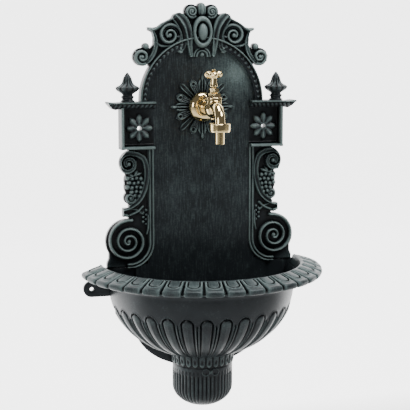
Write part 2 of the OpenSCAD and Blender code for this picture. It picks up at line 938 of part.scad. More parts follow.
module gland_nut() {
    nose_z = packing_z + packing_h;
    color(brass)
        on_valve(0)
            difference() {
                union() {
                    difference() {
                        translate([0, 0, gland_z])
                            hex(gland_af, gland_h);
                        translate([0, 0, gland_z - 1])
                            cylinder(r = neck_r + run_gap, h = gland_h - gland_lip + 1);
                    }
                    translate([0, 0, nose_z])
                        cylinder(r = packing_r - run_gap, h = gland_z + gland_h - nose_z);
                }
                translate([0, 0, gland_z - 2])
                    cylinder(r = stem_r + run_gap, h = gland_h + 4);
            }
}

module spindle() {
    color(brass)
        on_valve(0)
            difference() {
                union() {
                    translate([0, 0, spindle_foot_z])
                        cylinder(r = spindle_thread_r, h = spindle_thread_top_z - spindle_foot_z);
                    translate([0, 0, spindle_foot_z])
                        cylinder(r = stem_r, h = handle_foot_z + 6 - spindle_foot_z);
                    translate([-square_w / 2, -square_w / 2, handle_foot_z + 5])
                        cube([square_w, square_w, handle_z - handle_foot_z - 5]);
                }
                translate([0, 0, spindle_foot_z - 1])
                    cylinder(r = jumper_stem_r + run_gap, h = 14);
                translate([0, 0, handle_z - 12])
                    cylinder(r = jumper_screw_r + run_gap, h = 20);
            }
}

module jumper() {
    plate_z = seat_z + seat_gap + jumper_washer_t;
    color(brass)
        on_valve(0) {
            translate([0, 0, plate_z])
                cylinder(r = jumper_r, h = jumper_plate_t);
            translate([0, 0, plate_z + 1])
                cylinder(r = jumper_stem_r, h = 13);
            translate([0, 0, plate_z - 4.5])
                cylinder(r = jumper_screw_r, h = 5);
        }
}

module jumper_washer() {
    color(rubber)
        on_valve(seat_z + seat_gap)
            difference() {
                cylinder(r = jumper_r, h = jumper_washer_t);
                translate([0, 0, -1])
                    cylinder(r = jumper_screw_r + run_gap, h = jumper_washer_t + 2);
            }
}

module jumper_nut() {
    color(brass)
        on_valve(seat_z + seat_gap - 2)
            difference() {
                hex(7, 2);
                translate([0, 0, -1])
                    cylinder(r = jumper_screw_r + run_gap, h = 4);
            }
}

// Half section of the T handle's bar, hub and balls: radius across, length up
module handle_section() {
    intersection() {
        union() {
            circle(r = handle_hub_r);
            slab(0, -handle_l / 2, handle_bar_r, handle_l / 2);
            for (s = sides)
                translate([0, s * handle_l / 2])
                    circle(r = handle_ball_r);
        }
        slab(0, -handle_l, handle_l, handle_l);
    }
}

module tee_handle() {
    color(brass)
        on_valve(0)
            rotate(handle_turn)
                difference() {
                    union() {
                        translate([0, 0, handle_foot_z])
                            cylinder(r1 = handle_column_r + 1.2, r2 = handle_column_r - 0.8,
                                h = handle_z - handle_foot_z);
                        translate([0, 0, handle_z])
                            rotate([0, 90, 0])
                                rotate_extrude()
                                    handle_section();
                    }
                    // socket for the spindle's stem and its square, and the screw's hole
                    translate([0, 0, handle_foot_z - 1])
                        cylinder(r = stem_r + run_gap, h = 7 + run_gap);
                    rotate(-handle_turn)
                        translate([-square_w / 2 - run_gap, -square_w / 2 - run_gap, handle_foot_z + 4])
                            cube([square_w + 2 * run_gap, square_w + 2 * run_gap,
                                handle_z - handle_foot_z - 4 + run_gap]);
                    cylinder(r = jumper_screw_r + 0.2, h = handle_z + 20);
                    translate([0, 0, handle_z + handle_hub_r - 1])
                        cylinder(r = 5, h = 5);
                }
}

module handle_screw() {
    color(brass)
        on_valve(handle_z - 11) {
            cylinder(r = jumper_screw_r, h = handle_hub_r + 10.5);
            translate([0, 0, handle_hub_r + 10])
                rotate_extrude($fn = 32)
                    polygon([[0, 0], [4, 0], [3.8, 1], [2.4, 2.1], [0, 2.5]]);
        }
}

// A piece turned on the spout's outlet axis
module on_outlet(z) {
    translate([0, -spout_d, z])
        children();
}

module hose_washer() {
    color(rubber)
        on_outlet(outlet_z - hose_washer_t)
            difference() {
                cylinder(r = outlet_r - 0.6, h = hose_washer_t);
                translate([0, 0, -1])
                    cylinder(r = hose_bore_r, h = hose_washer_t + 2);
            }
}

module hose_tail() {
    flange_z = outlet_z - hose_washer_t - hose_flange_t;
    color(brass)
        on_outlet(0)
            difference() {
                union() {
                    translate([0, 0, flange_z])
                        cylinder(r = outlet_r - 0.6, h = hose_flange_t);
                    translate([0, 0, flange_z - union_lip])
                        cylinder(r = hose_collar_r, h = union_lip + 1);
                    translate([0, 0, flange_z - union_lip - hose_l])
                        cylinder(r = hose_r, h = hose_l + 1);
                }
                translate([0, 0, flange_z - 60])
                    cylinder(r = hose_bore_r, h = 80);
            }
}

module hose_union_nut() {
    foot_of_nut = outlet_z - hose_washer_t - hose_flange_t - union_lip;
    color(brass)
        on_outlet(foot_of_nut)
            difference() {
                cylinder(r = union_r, h = union_h);
                translate([0, 0, union_lip])
                    cylinder(r = outlet_r + run_gap, h = union_h);
                translate([0, 0, -1])
                    cylinder(r = hose_collar_r + 0.2, h = union_lip + 2);
            }
}

back_plate();
tap_rosette();
finial_left();
finial_right();
finial_studs();
bowl();
bowl_bolts();
bowl_washers();
pendant();
drain_body();
drain_gasket();
drain_strainer();
strainer_screw();
drain_washer();
drain_nut();
drain_elbow();
tap_body();
tap_flange();
tap_washer();
tap_locknut();
bonnet();
bonnet_washer();
gland_packing();
gland_nut();
spindle();
jumper();
jumper_washer();
jumper_nut();
tee_handle();
handle_screw();
hose_washer();
hose_tail();
hose_union_nut();
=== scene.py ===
import bpy
import math
import numpy as np
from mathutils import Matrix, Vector
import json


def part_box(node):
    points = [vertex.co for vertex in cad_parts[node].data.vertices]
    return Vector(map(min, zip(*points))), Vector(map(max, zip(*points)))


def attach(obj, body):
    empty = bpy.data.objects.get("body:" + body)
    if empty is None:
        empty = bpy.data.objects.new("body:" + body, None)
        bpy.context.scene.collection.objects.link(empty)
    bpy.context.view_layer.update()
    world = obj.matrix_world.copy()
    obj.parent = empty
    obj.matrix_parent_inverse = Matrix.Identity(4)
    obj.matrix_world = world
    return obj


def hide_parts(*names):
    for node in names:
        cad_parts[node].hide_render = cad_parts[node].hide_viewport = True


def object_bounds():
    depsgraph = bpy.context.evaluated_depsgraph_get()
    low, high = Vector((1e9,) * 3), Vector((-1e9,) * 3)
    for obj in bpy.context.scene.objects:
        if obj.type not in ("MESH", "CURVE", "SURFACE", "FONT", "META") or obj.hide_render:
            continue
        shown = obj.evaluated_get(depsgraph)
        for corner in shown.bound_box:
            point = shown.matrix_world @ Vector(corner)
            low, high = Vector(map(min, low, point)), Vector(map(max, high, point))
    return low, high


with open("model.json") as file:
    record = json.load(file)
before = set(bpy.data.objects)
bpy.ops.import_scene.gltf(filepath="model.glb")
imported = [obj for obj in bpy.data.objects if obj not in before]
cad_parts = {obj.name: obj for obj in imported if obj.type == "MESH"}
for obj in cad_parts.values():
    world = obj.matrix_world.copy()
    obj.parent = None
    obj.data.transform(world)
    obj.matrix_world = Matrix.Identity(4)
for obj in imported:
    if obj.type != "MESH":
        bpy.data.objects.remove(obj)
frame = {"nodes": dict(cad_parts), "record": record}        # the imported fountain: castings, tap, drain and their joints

packed_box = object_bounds()
mm = 0.001
view_left = math.radians(16.0)
view_up = math.radians(8.3)
view_distance = 1.882
aim = Vector((0.0094, 0.0, -0.1365))
away = Vector((-math.sin(view_left) * math.cos(view_up), -math.cos(view_left) * math.cos(view_up),
               math.sin(view_up)))

camera_data = bpy.data.cameras.new("view")
camera_data.sensor_width = 36.0
camera_data.lens = 95.3
camera_data.clip_end = 50.0
camera = bpy.data.objects.new("view", camera_data)
camera.location = aim + view_distance * away
camera.rotation_euler = (-away).to_track_quat("-Z", "Y").to_euler()
bpy.context.collection.objects.link(camera)
bpy.context.scene.camera = camera


def soft_light(name, place, power, size):
    """A square lamp at `place` that faces the middle of the fountain."""
    lamp = bpy.data.lights.new(name, "AREA")
    lamp.energy = power
    lamp.size = size
    holder = bpy.data.objects.new(name, lamp)
    holder.location = place
    holder.rotation_euler = (aim - Vector(place)).to_track_quat("-Z", "Y").to_euler()
    bpy.context.collection.objects.link(holder)


soft_light("key_light", (1.15, -1.15, 1.45), 38.0, 0.7)
soft_light("side_light", (-1.5, -1.2, 0.35), 10.0, 0.7)
soft_light("top_light", (0.1, -0.30, 1.5), 26.0, 0.7)
soft_light("low_light", (0.35, -1.4, -1.1), 10.0, 0.8)

world = bpy.data.worlds.new("studio")
world.use_nodes = True
world.node_tree.nodes["Background"].inputs["Color"].default_value = (1.0, 1.0, 1.0, 1.0)
world.node_tree.nodes["Background"].inputs["Strength"].default_value = 0.13
bpy.context.scene.world = world

floor_z = packed_box[0].z - 0.12
floor_depth = np.concatenate([[-6.0], np.linspace(2.0, 4.0, 9)])
floor_rise = np.concatenate([[0.0], 2.2 * np.linspace(0.0, 1.0, 9) ** 2.2])
sweep_points = [(x, y, floor_z + z) for x in (-8.0, 8.0) for y, z in zip(floor_depth, floor_rise)]
sweep_points += [(x, 4.2, floor_z + 9.0) for x in (-8.0, 8.0)]
row = len(floor_depth)
sweep_faces = [(i, row + i, row + i + 1, i + 1) for i in range(row - 1)]
sweep_faces.append((row - 1, 2 * row - 1, 2 * row + 1, 2 * row))
sweep_mesh = bpy.data.meshes.new("floor")
sweep_mesh.from_pydata(sweep_points, [], sweep_faces)
sweep_mesh.polygons.foreach_set("use_smooth", [True] * len(sweep_faces))
floor = bpy.data.objects.new("floor", sweep_mesh)
bpy.context.collection.objects.link(floor)


class Tone:
    """A socket in a finish. Sums, differences and products of it add Math nodes."""

    def __init__(self, tree, socket):
        self.tree = tree
        self.socket = socket

    def node(self, kind, settings=None, values=None, out=0):
        """Any node: its settings first, then the values or links of its sockets."""
        made = self.tree.nodes.new(kind)
        for key, value in (settings or {}).items():
            setattr(made, key, value)
        for key, value in (values or {}).items():
            if isinstance(value, Tone):
                self.tree.links.new(value.socket, made.inputs[key])
            else:
                made.inputs[key].default_value = value
        return Tone(self.tree, made.outputs[out])

    def maths(self, operation, *terms, clamp=False):
        """One Math node on these terms."""
        settings = {"operation": operation, "use_clamp": clamp}
        return self.node("ShaderNodeMath", settings, dict(enumerate(terms)))

    # sums, differences and products, with the tone on either side
    def __add__(self, other):
        return self.maths("ADD", self, other)

    def __mul__(self, other):
        return self.maths("MULTIPLY", self, other)

    def __sub__(self, other):
        return self.maths("SUBTRACT", self, other)

    def __rsub__(self, other):
        return self.maths("SUBTRACT", other, self)

    __radd__ = __add__
    __rmul__ = __mul__

    def clamped(self):
        """The same, held between 0 and 1."""
        return self.maths("ADD", self, 0.0, clamp=True)

    def mix(self, low, high):
        """The colour `low` where this is 0 and `high` where it is 1."""
        return self.node("ShaderNodeMix", {"data_type": "RGBA"}, {0: self, 6: low, 7: high}, out=2)

    def noise(self, scale, detail=3.0, stretch=(1.0, 1.0, 1.0)):
        """Soft random patches, `scale` of them to a metre, on these coordinates."""
        placed = self.node("ShaderNodeMapping", None, {"Vector": self, "Scale": stretch})
        return self.node("ShaderNodeTexNoise", None, {"Vector": placed, "Scale": scale, "Detail": detail})


def new_finish(name):
    """A material, its Principled shader, and a Tone on the object's own coordinates."""
    made = bpy.data.materials.new(name)
    made.use_nodes = True
    tree = made.node_tree
    place = tree.nodes.new("ShaderNodeTexCoord")
    return made, tree.nodes["Principled BSDF"], Tone(tree, place.outputs["Object"])


def set_socket(shader, tone, name):
    """Lead a tone into one of the shader's sockets."""
    tone.tree.links.new(tone.socket, shader.inputs[name])


floor_paint, floor_shader, floor_at = new_finish("floor_paint")
towards_wall = floor_at.node("ShaderNodeSeparateXYZ", None, {0: floor_at}, out=1)
glow = ((towards_wall + 0.05) * 3.0).clamped()
floor_shader.inputs["Base Color"].default_value = (0.55, 0.55, 0.55, 1.0)
floor_shader.inputs["Roughness"].default_value = 0.9
floor_shader.inputs["Emission Strength"].default_value = 3.6
set_socket(floor_shader, glow.mix((0.03, 0.03, 0.03, 1), (1, 1, 1, 1)), "Emission Color")
sweep_mesh.materials.append(floor_paint)


# ---------------------------------------------------------------------------------------------
# The cast finish: sand-cast metal with charcoal paint, and a grey-green verdigris wiped over
# whatever stands proud. Each casting carries its own wear-and-shade value, from 0 in a recess to 1 on a
# ridge:
# it places the verdigris, a painted shade that blackens the recesses, and a pale edge on the ridges that is
# partly rubbed wear and partly a painted highlight.

charcoal, pale_charcoal = (0.009, 0.012, 0.014, 1), (0.022, 0.027, 0.031, 1)
verdigris, pale_verdigris = (0.040, 0.062, 0.064, 1), (0.105, 0.145, 0.142, 1)
# second pair: a pale edge colour, partly rubbed wear and partly a painted highlight, and a near-black
# painted shade for the recesses
rubbed_edge_and_highlight, painted_shade_black = (0.200, 0.262, 0.252, 1), (0.004, 0.005, 0.006, 1)


def cast_finish(name, patina, streaks=0.0, clouds=1.1):
    """Charcoal paint with verdigris wiped over the ridges, a painted shade that turns the recesses near
    black, and a pale edge on the highest ridges that is partly rubbed wear and partly a painted highlight.
    `patina` is how much was left on the ridges, `streaks` how plainly the brush shows, and `clouds` how
    uneven it is."""
    made, shader, at = new_finish(name)
    wear_and_shade = at.node("ShaderNodeAttribute", {"attribute_name": "wear_and_shade"}, out=2)
    cloud = at.noise(30.0, 4.0)
    speck = at.noise(420.0, 3.0)
    grain = at.noise(1100.0, 2.0)
    brushed = at.noise(60.0, 4.0, (9.0, 9.0, 0.7))
    wiped = (wear_and_shade * 1.7 - (1.36 - patina) + (cloud - 0.5) * clouds + (speck - 0.5) * 0.8
             + (brushed - 0.5) * streaks).clamped()
    # painted shade: the deepest recesses darken towards near black
    painted_shade = ((0.50 - wear_and_shade) * 3.6).clamped()
    ground = cloud.mix(charcoal, pale_charcoal)
    green = speck.mix(verdigris, pale_verdigris)
    painted = (wiped * 0.85).mix(ground, green)
    # the highest ridges get a pale edge: partly rubbed wear, partly a painted highlight
    worn_edge_and_highlight = ((wear_and_shade - 0.83) * 4.0 * (0.35 + patina * 0.7) + (speck - 0.5) * 0.5).clamped()
    painted = (worn_edge_and_highlight * 0.8).mix(painted, rubbed_edge_and_highlight)
    painted = (painted_shade * 0.9).mix(painted, painted_shade_black)
    set_socket(shader, painted, "Base Color")
    set_socket(shader, 0.36 + wiped * 0.20 + (speck - 0.5) * 0.18, "Roughness")
    set_socket(shader, 0.30 - wiped * 0.2, "Metallic")
    shader.inputs["Specular IOR Level"].default_value = 0.30
    height = grain * 0.5 + speck * 0.6 + cloud * 0.4
    bump = at.node("ShaderNodeBump", None, {"Strength": 0.30, "Distance": 0.0006, "Height": height})
    set_socket(shader, bump, "Normal")
    return made


# ---------------------------------------------------------------------------------------------
# Back plate, centre: the smooth sunk panel of the one big casting, arched at its head, with the
# tongue that hangs down inside the bowl. The casting is hollow behind, with a wall all round.

def box_mm(node):
    """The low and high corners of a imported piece, in millimetres."""
    return [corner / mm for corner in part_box(node)]


flange_low, flange_high = box_mm("tap_flange")
sheet_mm = 5.0
panel_mm = 13.0
arch_centre_mm = 44.5
arch_outer_mm = 107.5
arch_inner_mm = 93.5
rim_top_mm = box_mm("bowl")[1].z
tap_height_mm = (flange_low.z + flange_high.z) / 2
wall_hole_x_mm = 109.5
wall_hole_mm = 3.9


def make_piece(name, points_mm, faces, wear_and_shade, finish, body="fountain", sharp=55.0):
    """A mesh from points in millimetres, with its wear-and-shade value on each point."""
    mesh = bpy.data.meshes.new(name)
    mesh.from_pydata((np.asarray(points_mm, float) * mm).tolist(), [], faces)
    if wear_and_shade is not None:
        layer = mesh.attributes.new("wear_and_shade", "FLOAT", "POINT")
        layer.data.foreach_set("value", np.asarray(wear_and_shade, np.float32))
    mesh.polygons.foreach_set("use_smooth", [True] * len(mesh.polygons))
    mesh.set_sharp_from_angle(angle=math.radians(sharp))
    mesh.materials.append(finish)
    piece = bpy.data.objects.new(name, mesh)
    bpy.context.collection.objects.link(piece)
    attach(piece, body)
    return piece


def blur(a, n):
    """The mean of a grid over squares of 2n + 1 points, taken twice."""
    for axis in (0, 1, 0, 1):
        pad = [(0, 0), (0, 0)]
        pad[axis] = (n + 1, n)
        total = np.cumsum(np.pad(a, pad, mode="edge"), axis=axis)
        count = total.shape[axis]
        upper = np.take(total, range(2 * n + 1, count), axis)
        lower = np.take(total, range(0, count - 2 * n - 1), axis)
        a = (upper - lower) / (2 * n + 1)
    return a


def wear_and_shade_of(height, step, reach=3.5, depth=1.6):
    """0.5 on an even face, towards 1 where the face stands above its surroundings, 0 where it lies below."""
    n = max(1, int(round(reach / step)))
    fine = height - blur(height, n)
    broad = height - blur(height, 3 * n)
    return 0.5 + 0.5 * np.tanh((fine + 0.35 * broad) / depth)


def relief(name, x_span, z_span, step, edge, front, back, finish, hand=1, depth=1.6, painted_light=None):
    """A casting that lies on the wall: y = -front(x, z) over a square grid, and y = -back(x, z) behind.
    Grid points just outside the outline, where edge(x, z) > 0, are drawn onto it down its slope."""
    x, z = np.meshgrid(np.arange(x_span[0], x_span[1] + step, step),
                       np.arange(z_span[0], z_span[1] + step, step))
    inside = edge(x, z) < 0
    cell = inside[:-1, :-1] | inside[1:, :-1] | inside[:-1, 1:] | inside[1:, 1:]
    for _ in range(3):
        d = edge(x, z)
        gx = (edge(x + 0.05, z) - edge(x - 0.05, z)) / 0.1
        gz = (edge(x, z + 0.05) - edge(x, z - 0.05)) / 0.1
        pull = np.where(d > 0, d, 0.0) / np.maximum(gx ** 2 + gz ** 2, 0.3)
        pull = np.clip(pull, 0, 1.5 * step)
        x = x - gx * pull
        z = z - gz * pull
    used = np.zeros(x.shape, bool)
    for rows in (slice(None, -1), slice(1, None)):
        for columns in (slice(None, -1), slice(1, None)):
            used[rows, columns] |= cell
    number = np.full(x.shape, -1)
    count = int(used.sum())
    number[used] = np.arange(count)
    height = front(x, z)
    depth_behind = np.minimum(back(x, z), height - 1.0)
    wear_and_shade = wear_and_shade_of(height, step, depth=depth)
    # an optional painted sheen and painted shade, added to the wear-and-shade values
    if painted_light:
        wear_and_shade = np.clip(wear_and_shade + painted_light(x, z), 0, 1)
    front_points = np.stack([hand * x[used], -height[used], z[used]], -1)
    back_points = np.stack([hand * x[used], -depth_behind[used], z[used]], -1)
    a, b = number[:-1, :-1], number[:-1, 1:]
    c, d = number[1:, 1:], number[1:, :-1]
    faces = [np.stack([a[cell], b[cell], c[cell], d[cell]], -1)]
    faces.append(faces[0][:, ::-1] + count)
    around = np.pad(cell, 1)
    for p, q, beside in ((a, b, around[:-2, 1:-1]), (b, c, around[1:-1, 2:]),
                         (c, d, around[2:, 1:-1]), (d, a, around[1:-1, :-2])):
        open_side = cell & ~beside
        p, q = p[open_side], q[open_side]
        faces.append(np.stack([p, p + count, q + count, q], -1))
    faces = np.concatenate(faces)
    if hand < 0:
        faces = faces[:, ::-1]
    points = np.concatenate([front_points, back_points])
    wear_and_shade = np.concatenate([wear_and_shade[used], np.full(count, 0.42)])
    return make_piece(name, points, faces.tolist(), wear_and_shade, finish)


def box_edge(x, z, x0, z0, x1, z1):
    """Distance outside a rectangle, negative inside it."""
    return np.maximum.reduce([x0 - x, x - x1, z0 - z, z - z1])


def disc_edge(x, z, cx, cz, r):
    """Distance outside a disc, negative inside it."""
    return np.hypot(x - cx, z - cz) - r


def union(*edges):
    """Several outlines in one: the least of their distances."""
    return np.minimum.reduce(edges)


def step_up(a, low, high):
    """0 below `low`, 1 above `high`, and a smooth S between them."""
    t = np.clip((a - low) / (high - low), 0, 1)
    return t * t * (3 - 2 * t)


panel_finish = cast_finish("panel_cast", 0.64, streaks=1.7, clouds=0.5)
tongue_foot_mm = box_mm("back_plate")[0].z
tongue_half_mm = 116.0
panel_half_mm = 95.0
ridge_from_mm = 84.5
block_foot_mm = -35.0


def panel_edge(x, z):
    """The arched head, the straight middle and the tongue, less the tap's bore."""
    head = np.maximum(disc_edge(x, z, 0, arch_centre_mm, arch_inner_mm + 3), arch_centre_mm - 1 - z)
    half = np.where(z > block_foot_mm + 1, ridge_from_mm, panel_half_mm)
    middle = np.maximum.reduce([np.abs(x) - half, rim_top_mm - 6 - z, z - arch_centre_mm])
    tongue = box_edge(x, z, -tongue_half_mm, tongue_foot_mm, tongue_half_mm, rim_top_mm - 1)
    bore = 11.0 - np.hypot(x, z - tap_height_mm)
    return np.maximum(union(head, middle, tongue), bore)


def panel_painted_light(x, z):
    """Painted light on the panel: a painted sheen at the upper right of the arch, and painted shade at the
    upper left and down in the bowl.
    """
    bright = 0.44 * np.exp(-((x - 62) / 40) ** 2 - ((z - 92) / 40) ** 2)
    dull = 0.09 * np.exp(-((x + 55) / 45) ** 2 - ((z - 70) / 60) ** 2)
    return bright - dull - 0.08 * step_up(-z, 150, 260)


centre_panel = relief("centre_panel", (-120, 120), (tongue_foot_mm - 3, 142), 3.0, panel_edge,
                      lambda x, z: np.full(x.shape, panel_mm),
                      lambda x, z: np.full(x.shape, panel_mm - sheet_mm), panel_finish, painted_light=panel_painted_light)
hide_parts("back_plate")


# ---------------------------------------------------------------------------------------------
# Back plate, arch: a moulding round the head of the panel, cast in one with it. A plain fillet
# runs along its outer edge, and a row of overlapping leaf tips inside that.
relief_finish = cast_finish("relief_cast", 0.60)


def swept_ring(name, angles, radii, height, behind, finish, centre=(0.0, 0.0), depth=1.2):
    """Part of a ring on the wall: y = -height(angle, r) in front and -behind(angle, r) at the back."""
    a, r = np.meshgrid(angles, radii, indexing="ij")
    h = height(a, r)
    rows, columns = a.shape
    x = centre[0] + r * np.cos(a)
    z = centre[1] + r * np.sin(a)
    points = np.concatenate([np.stack([x, -h, z], -1).reshape(-1, 3),
                             np.stack([x, -behind(a, r), z], -1).reshape(-1, 3)])
    number = np.arange(rows * columns).reshape(rows, columns)
    p, q = number[:-1, :-1], number[:-1, 1:]
    s, t = number[1:, 1:], number[1:, :-1]
    top = np.stack([p, q, s, t], -1).reshape(-1, 4)
    back = top[:, ::-1] + rows * columns
    edges = [(number[1:, 0], number[:-1, 0]), (number[:-1, -1], number[1:, -1]),
             (number[0, :-1], number[0, 1:]), (number[-1, 1:], number[-1, :-1])]
    walls = [np.stack([e, e + rows * columns, f + rows * columns, f], -1) for e, f in edges]
    faces = np.concatenate([top, back] + walls)
    step = float(np.hypot(x[0, 1] - x[0, 0], z[0, 1] - z[0, 0]))
    wear_and_shade = wear_and_shade_of(h, max(step, 0.5), reach=2.5, depth=depth).reshape(-1)
    return make_piece(name, points, faces.tolist(), np.concatenate([wear_and_shade, np.full(wear_and_shade.size, 0.42)]), finish)


def arch_height(a, r):
    """A half-round fillet at the edge; inside it, chevrons of leaf tips 9 mm apart, and a fine bead."""
    across = (r - arch_inner_mm) / (arch_outer_mm - arch_inner_mm)
    fillet = 3.0 * np.sqrt(np.clip(1 - ((across - 0.89) / 0.11) ** 2, 0, 1))
    inner = 1.6 * np.sqrt(np.clip(1 - ((across - 0.06) / 0.07) ** 2, 0, 1))
    mid = (across - 0.45) / 0.30
    phase = a * 100.0 / 9.0 - 0.42 * np.abs(mid)
    leaf = 2.6 * (1 - np.abs(2 * (phase % 1.0) - 1) ** 1.6) * np.clip(1.15 - mid ** 2, 0, 1)
    return 15.5 + np.maximum.reduce([fillet + 1.5, inner, np.where(np.abs(mid) < 1.05, leaf, 0)])


def arch_behind(a, r):
    """The outer wall reaches the house wall; the rest is hollow behind."""
    return np.where(r > arch_outer_mm - sheet_mm, 0.0, panel_mm - sheet_mm)


arch_radii = np.concatenate([[arch_inner_mm - 0.01], np.linspace(arch_inner_mm, arch_outer_mm, 27)])
arch_moulding = swept_ring("arch_moulding", np.linspace(math.pi, 0.0, 641), arch_radii,
                           arch_height, arch_behind, relief_finish, centre=(0.0, arch_centre_mm))
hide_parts("back_plate")


# ---------------------------------------------------------------------------------------------
# Back plate, shoulders: two sunk blocks beside the panel, each with a raised rim and an
# eight-petalled star that has a wall hole through its middle, and a leaf-cut cornice on top.
block_outer_mm = 142.0
cornice_foot_mm = 32.5
rim_front_mm = 28.0


def star_height(x, z):
    """Eight petals: each a ridge along its middle that falls away to pointed sides."""
    r = np.hypot(x, z)
    turn = np.arctan2(z, x) / (math.pi / 4)
    off = np.abs(turn - np.round(turn)) * (math.pi / 4) * r
    width = np.interp(r, [0, 6, 13, 19, 26], [3.2, 3.6, 6.2, 4.6, 0.0])
    share = off / np.maximum(width, 0.05)
    petal = np.where(share < 1, 2.6 + 2.8 * (1 - share) ** 1.1, 0) * step_up(26 - r, 0, 7)
    boss = np.where(r < 8, 3.2 + 1.8 * np.exp(-((r - 5.6) / 1.5) ** 2), 0)
    return np.maximum(petal, boss)


def block_height(x, z):
    """The sunk field, its raised rim with a step inside it, and the star."""
    rim = union(np.abs(x - (block_outer_mm - 2.6)) - 2.6, np.abs(z - (block_foot_mm + 2.4)) - 2.4)
    rim_rise = (rim_front_mm - panel_mm) * step_up(-rim, -0.9, 0.7)
    inner = union(np.abs(x - (block_outer_mm - 7.8)) - 1.1, np.abs(z - (block_foot_mm + 7.6)) - 1.1)
    inner_rise = 1.8 * step_up(-inner, -0.6, 0.5)
    inner_rise = np.where((x < block_outer_mm - 8.9) & (z > block_foot_mm + 8.8), 0, inner_rise)
    return panel_mm + np.maximum.reduce([rim_rise, inner_rise, star_height(x - wall_hole_x_mm, z)])


def block_edge(x, z):
    """A square block with a wall hole through it."""
    hole = wall_hole_mm - np.hypot(x - wall_hole_x_mm, z)
    block = box_edge(x, z, ridge_from_mm, block_foot_mm, block_outer_mm, cornice_foot_mm + 2)
    return np.maximum(block, hole)


def block_back(x, z):
    """Hollow behind, but for the outer walls and a post round the wall hole."""
    wall = box_edge(x, z, 0, block_foot_mm + sheet_mm, block_outer_mm - sheet_mm, cornice_foot_mm - 1)
    post = np.hypot(x - wall_hole_x_mm, z) < 8.5
    return np.where((wall > 0) | post, 0.0, panel_mm - sheet_mm)


def on_wall(x, z):
    """Solid right back to the house wall."""
    return np.zeros(x.shape)


cornice_top_mm = arch_centre_mm
cornice_from_mm = 146.0
cornice_tip_mm = 164.0


def cornice_edge(x, z):
    """A long slab that ends in an upturned beak: its underside sweeps up to the tip."""
    past = np.clip((x - cornice_from_mm) / (cornice_tip_mm - cornice_from_mm), 0, 1.2)
    under = cornice_foot_mm - 1.5 * np.sin(math.pi * np.clip(past * 1.3, 0, 1)) + 9.5 * past ** 2.6
    lip = cornice_top_mm - 1.3 * step_up(x, 128, 150) * (1 - step_up(x, 152, 163))
    return np.maximum.reduce([under - z, z - lip, 84.0 - x, x - cornice_tip_mm])


def cornice_height(x, z):
    """A flat fillet on top of a hollow band cut with leaf tips, 8 mm apart."""
    up = (z - cornice_foot_mm) / (cornice_top_mm - cornice_foot_mm)
    fillet = 5.0 * step_up(up, 0.70, 0.78)
    phase = x / 7.5 + 0.8 * up
    leaf = 2.4 * (1 - np.abs(2 * (phase % 1.0) - 1) ** 1.5)
    leaf *= step_up(up, 0.02, 0.2) * step_up(0.74 - up, 0, 0.12)
    bulge = 4.5 * step_up(up, 0.0, 0.65)
    return 23.0 + bulge + np.maximum(fillet, leaf)


for hand, side in ((-1, "left"), (1, "right")):
    block = relief("star_block_" + side, (83, 144), (-37, 36), 0.62, block_edge, block_height, block_back,
                   relief_finish, hand)
    cornice = relief("cornice_" + side, (82, 166), (29, 46), 0.6, cornice_edge, cornice_height,
                     on_wall, relief_finish, hand)
    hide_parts("back_plate")
    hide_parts("back_plate")


# ---------------------------------------------------------------------------------------------
# Back plate, sides: below each block a C-scroll curls round a bunch of grapes, stands on a
# stepped bracket, and ends in a large spiral. A double ridge divides it from the centre panel.

def spline(points, per_leg=12):
    """A smooth curve through the points (Catmull-Rom): the tangent at each point is half the
    chord between its two neighbours."""
    p = np.asarray(points, float)
    p = np.vstack([2 * p[0] - p[1], p, 2 * p[-1] - p[-2]])
    t = np.linspace(0, 1, per_leg, endpoint=False)[:, None, None]
    a, b, c, d = p[:-3], p[1:-2], p[2:-1], p[3:]
    curve = 0.5 * (2 * b + (c - a) * t + (2 * a - 5 * b + 4 * c - d) * t ** 2
                   + (3 * b - a - 3 * c + d) * t ** 3)
    return np.vstack([curve.transpose(1, 0, 2).reshape(-1, 2), p[-2]])


def spiral(cx, cz, r0, r1, start_deg, turns, power=1.0, count=40):
    """A curve about a centre whose radius closes from r0 to r1 as it turns. Negative turns run
    clockwise."""
    f = np.linspace(0, 1, int(count * abs(turns)) + 2)
    a = math.radians(start_deg) + 2 * math.pi * turns * f
    r = r0 + (r1 - r0) * f ** power
    return np.stack([cx + r * np.cos(a), cz + r * np.sin(a)], -1)


def across(x, z, path):
    """Signed distance from each point to a path, and how far along the path its foot is, 0 to 1."""
    legs = np.diff(path, axis=0)
    run = np.concatenate([[0], np.cumsum(np.hypot(*legs.T))])
    run /= run[-1]
    best = np.full(x.shape, 1e9)
    along = np.zeros(x.shape)
    side = np.ones(x.shape)
    for p, v, r0, r1 in zip(path[:-1], legs, run[:-1], run[1:]):
        length = v[0] ** 2 + v[1] ** 2
        if length < 1e-12:
            continue
        t = np.clip(((x - p[0]) * v[0] + (z - p[1]) * v[1]) / length, 0, 1)
        dx, dz = x - p[0] - t * v[0], z - p[1] - t * v[1]
        d = dx * dx + dz * dz
        near = d < best
        best[near] = d[near]
        along[near] = (r0 + (r1 - r0) * t)[near]
        side[near] = np.sign(v[0] * dz - v[1] * dx)[near]
    return side * np.sqrt(best), along


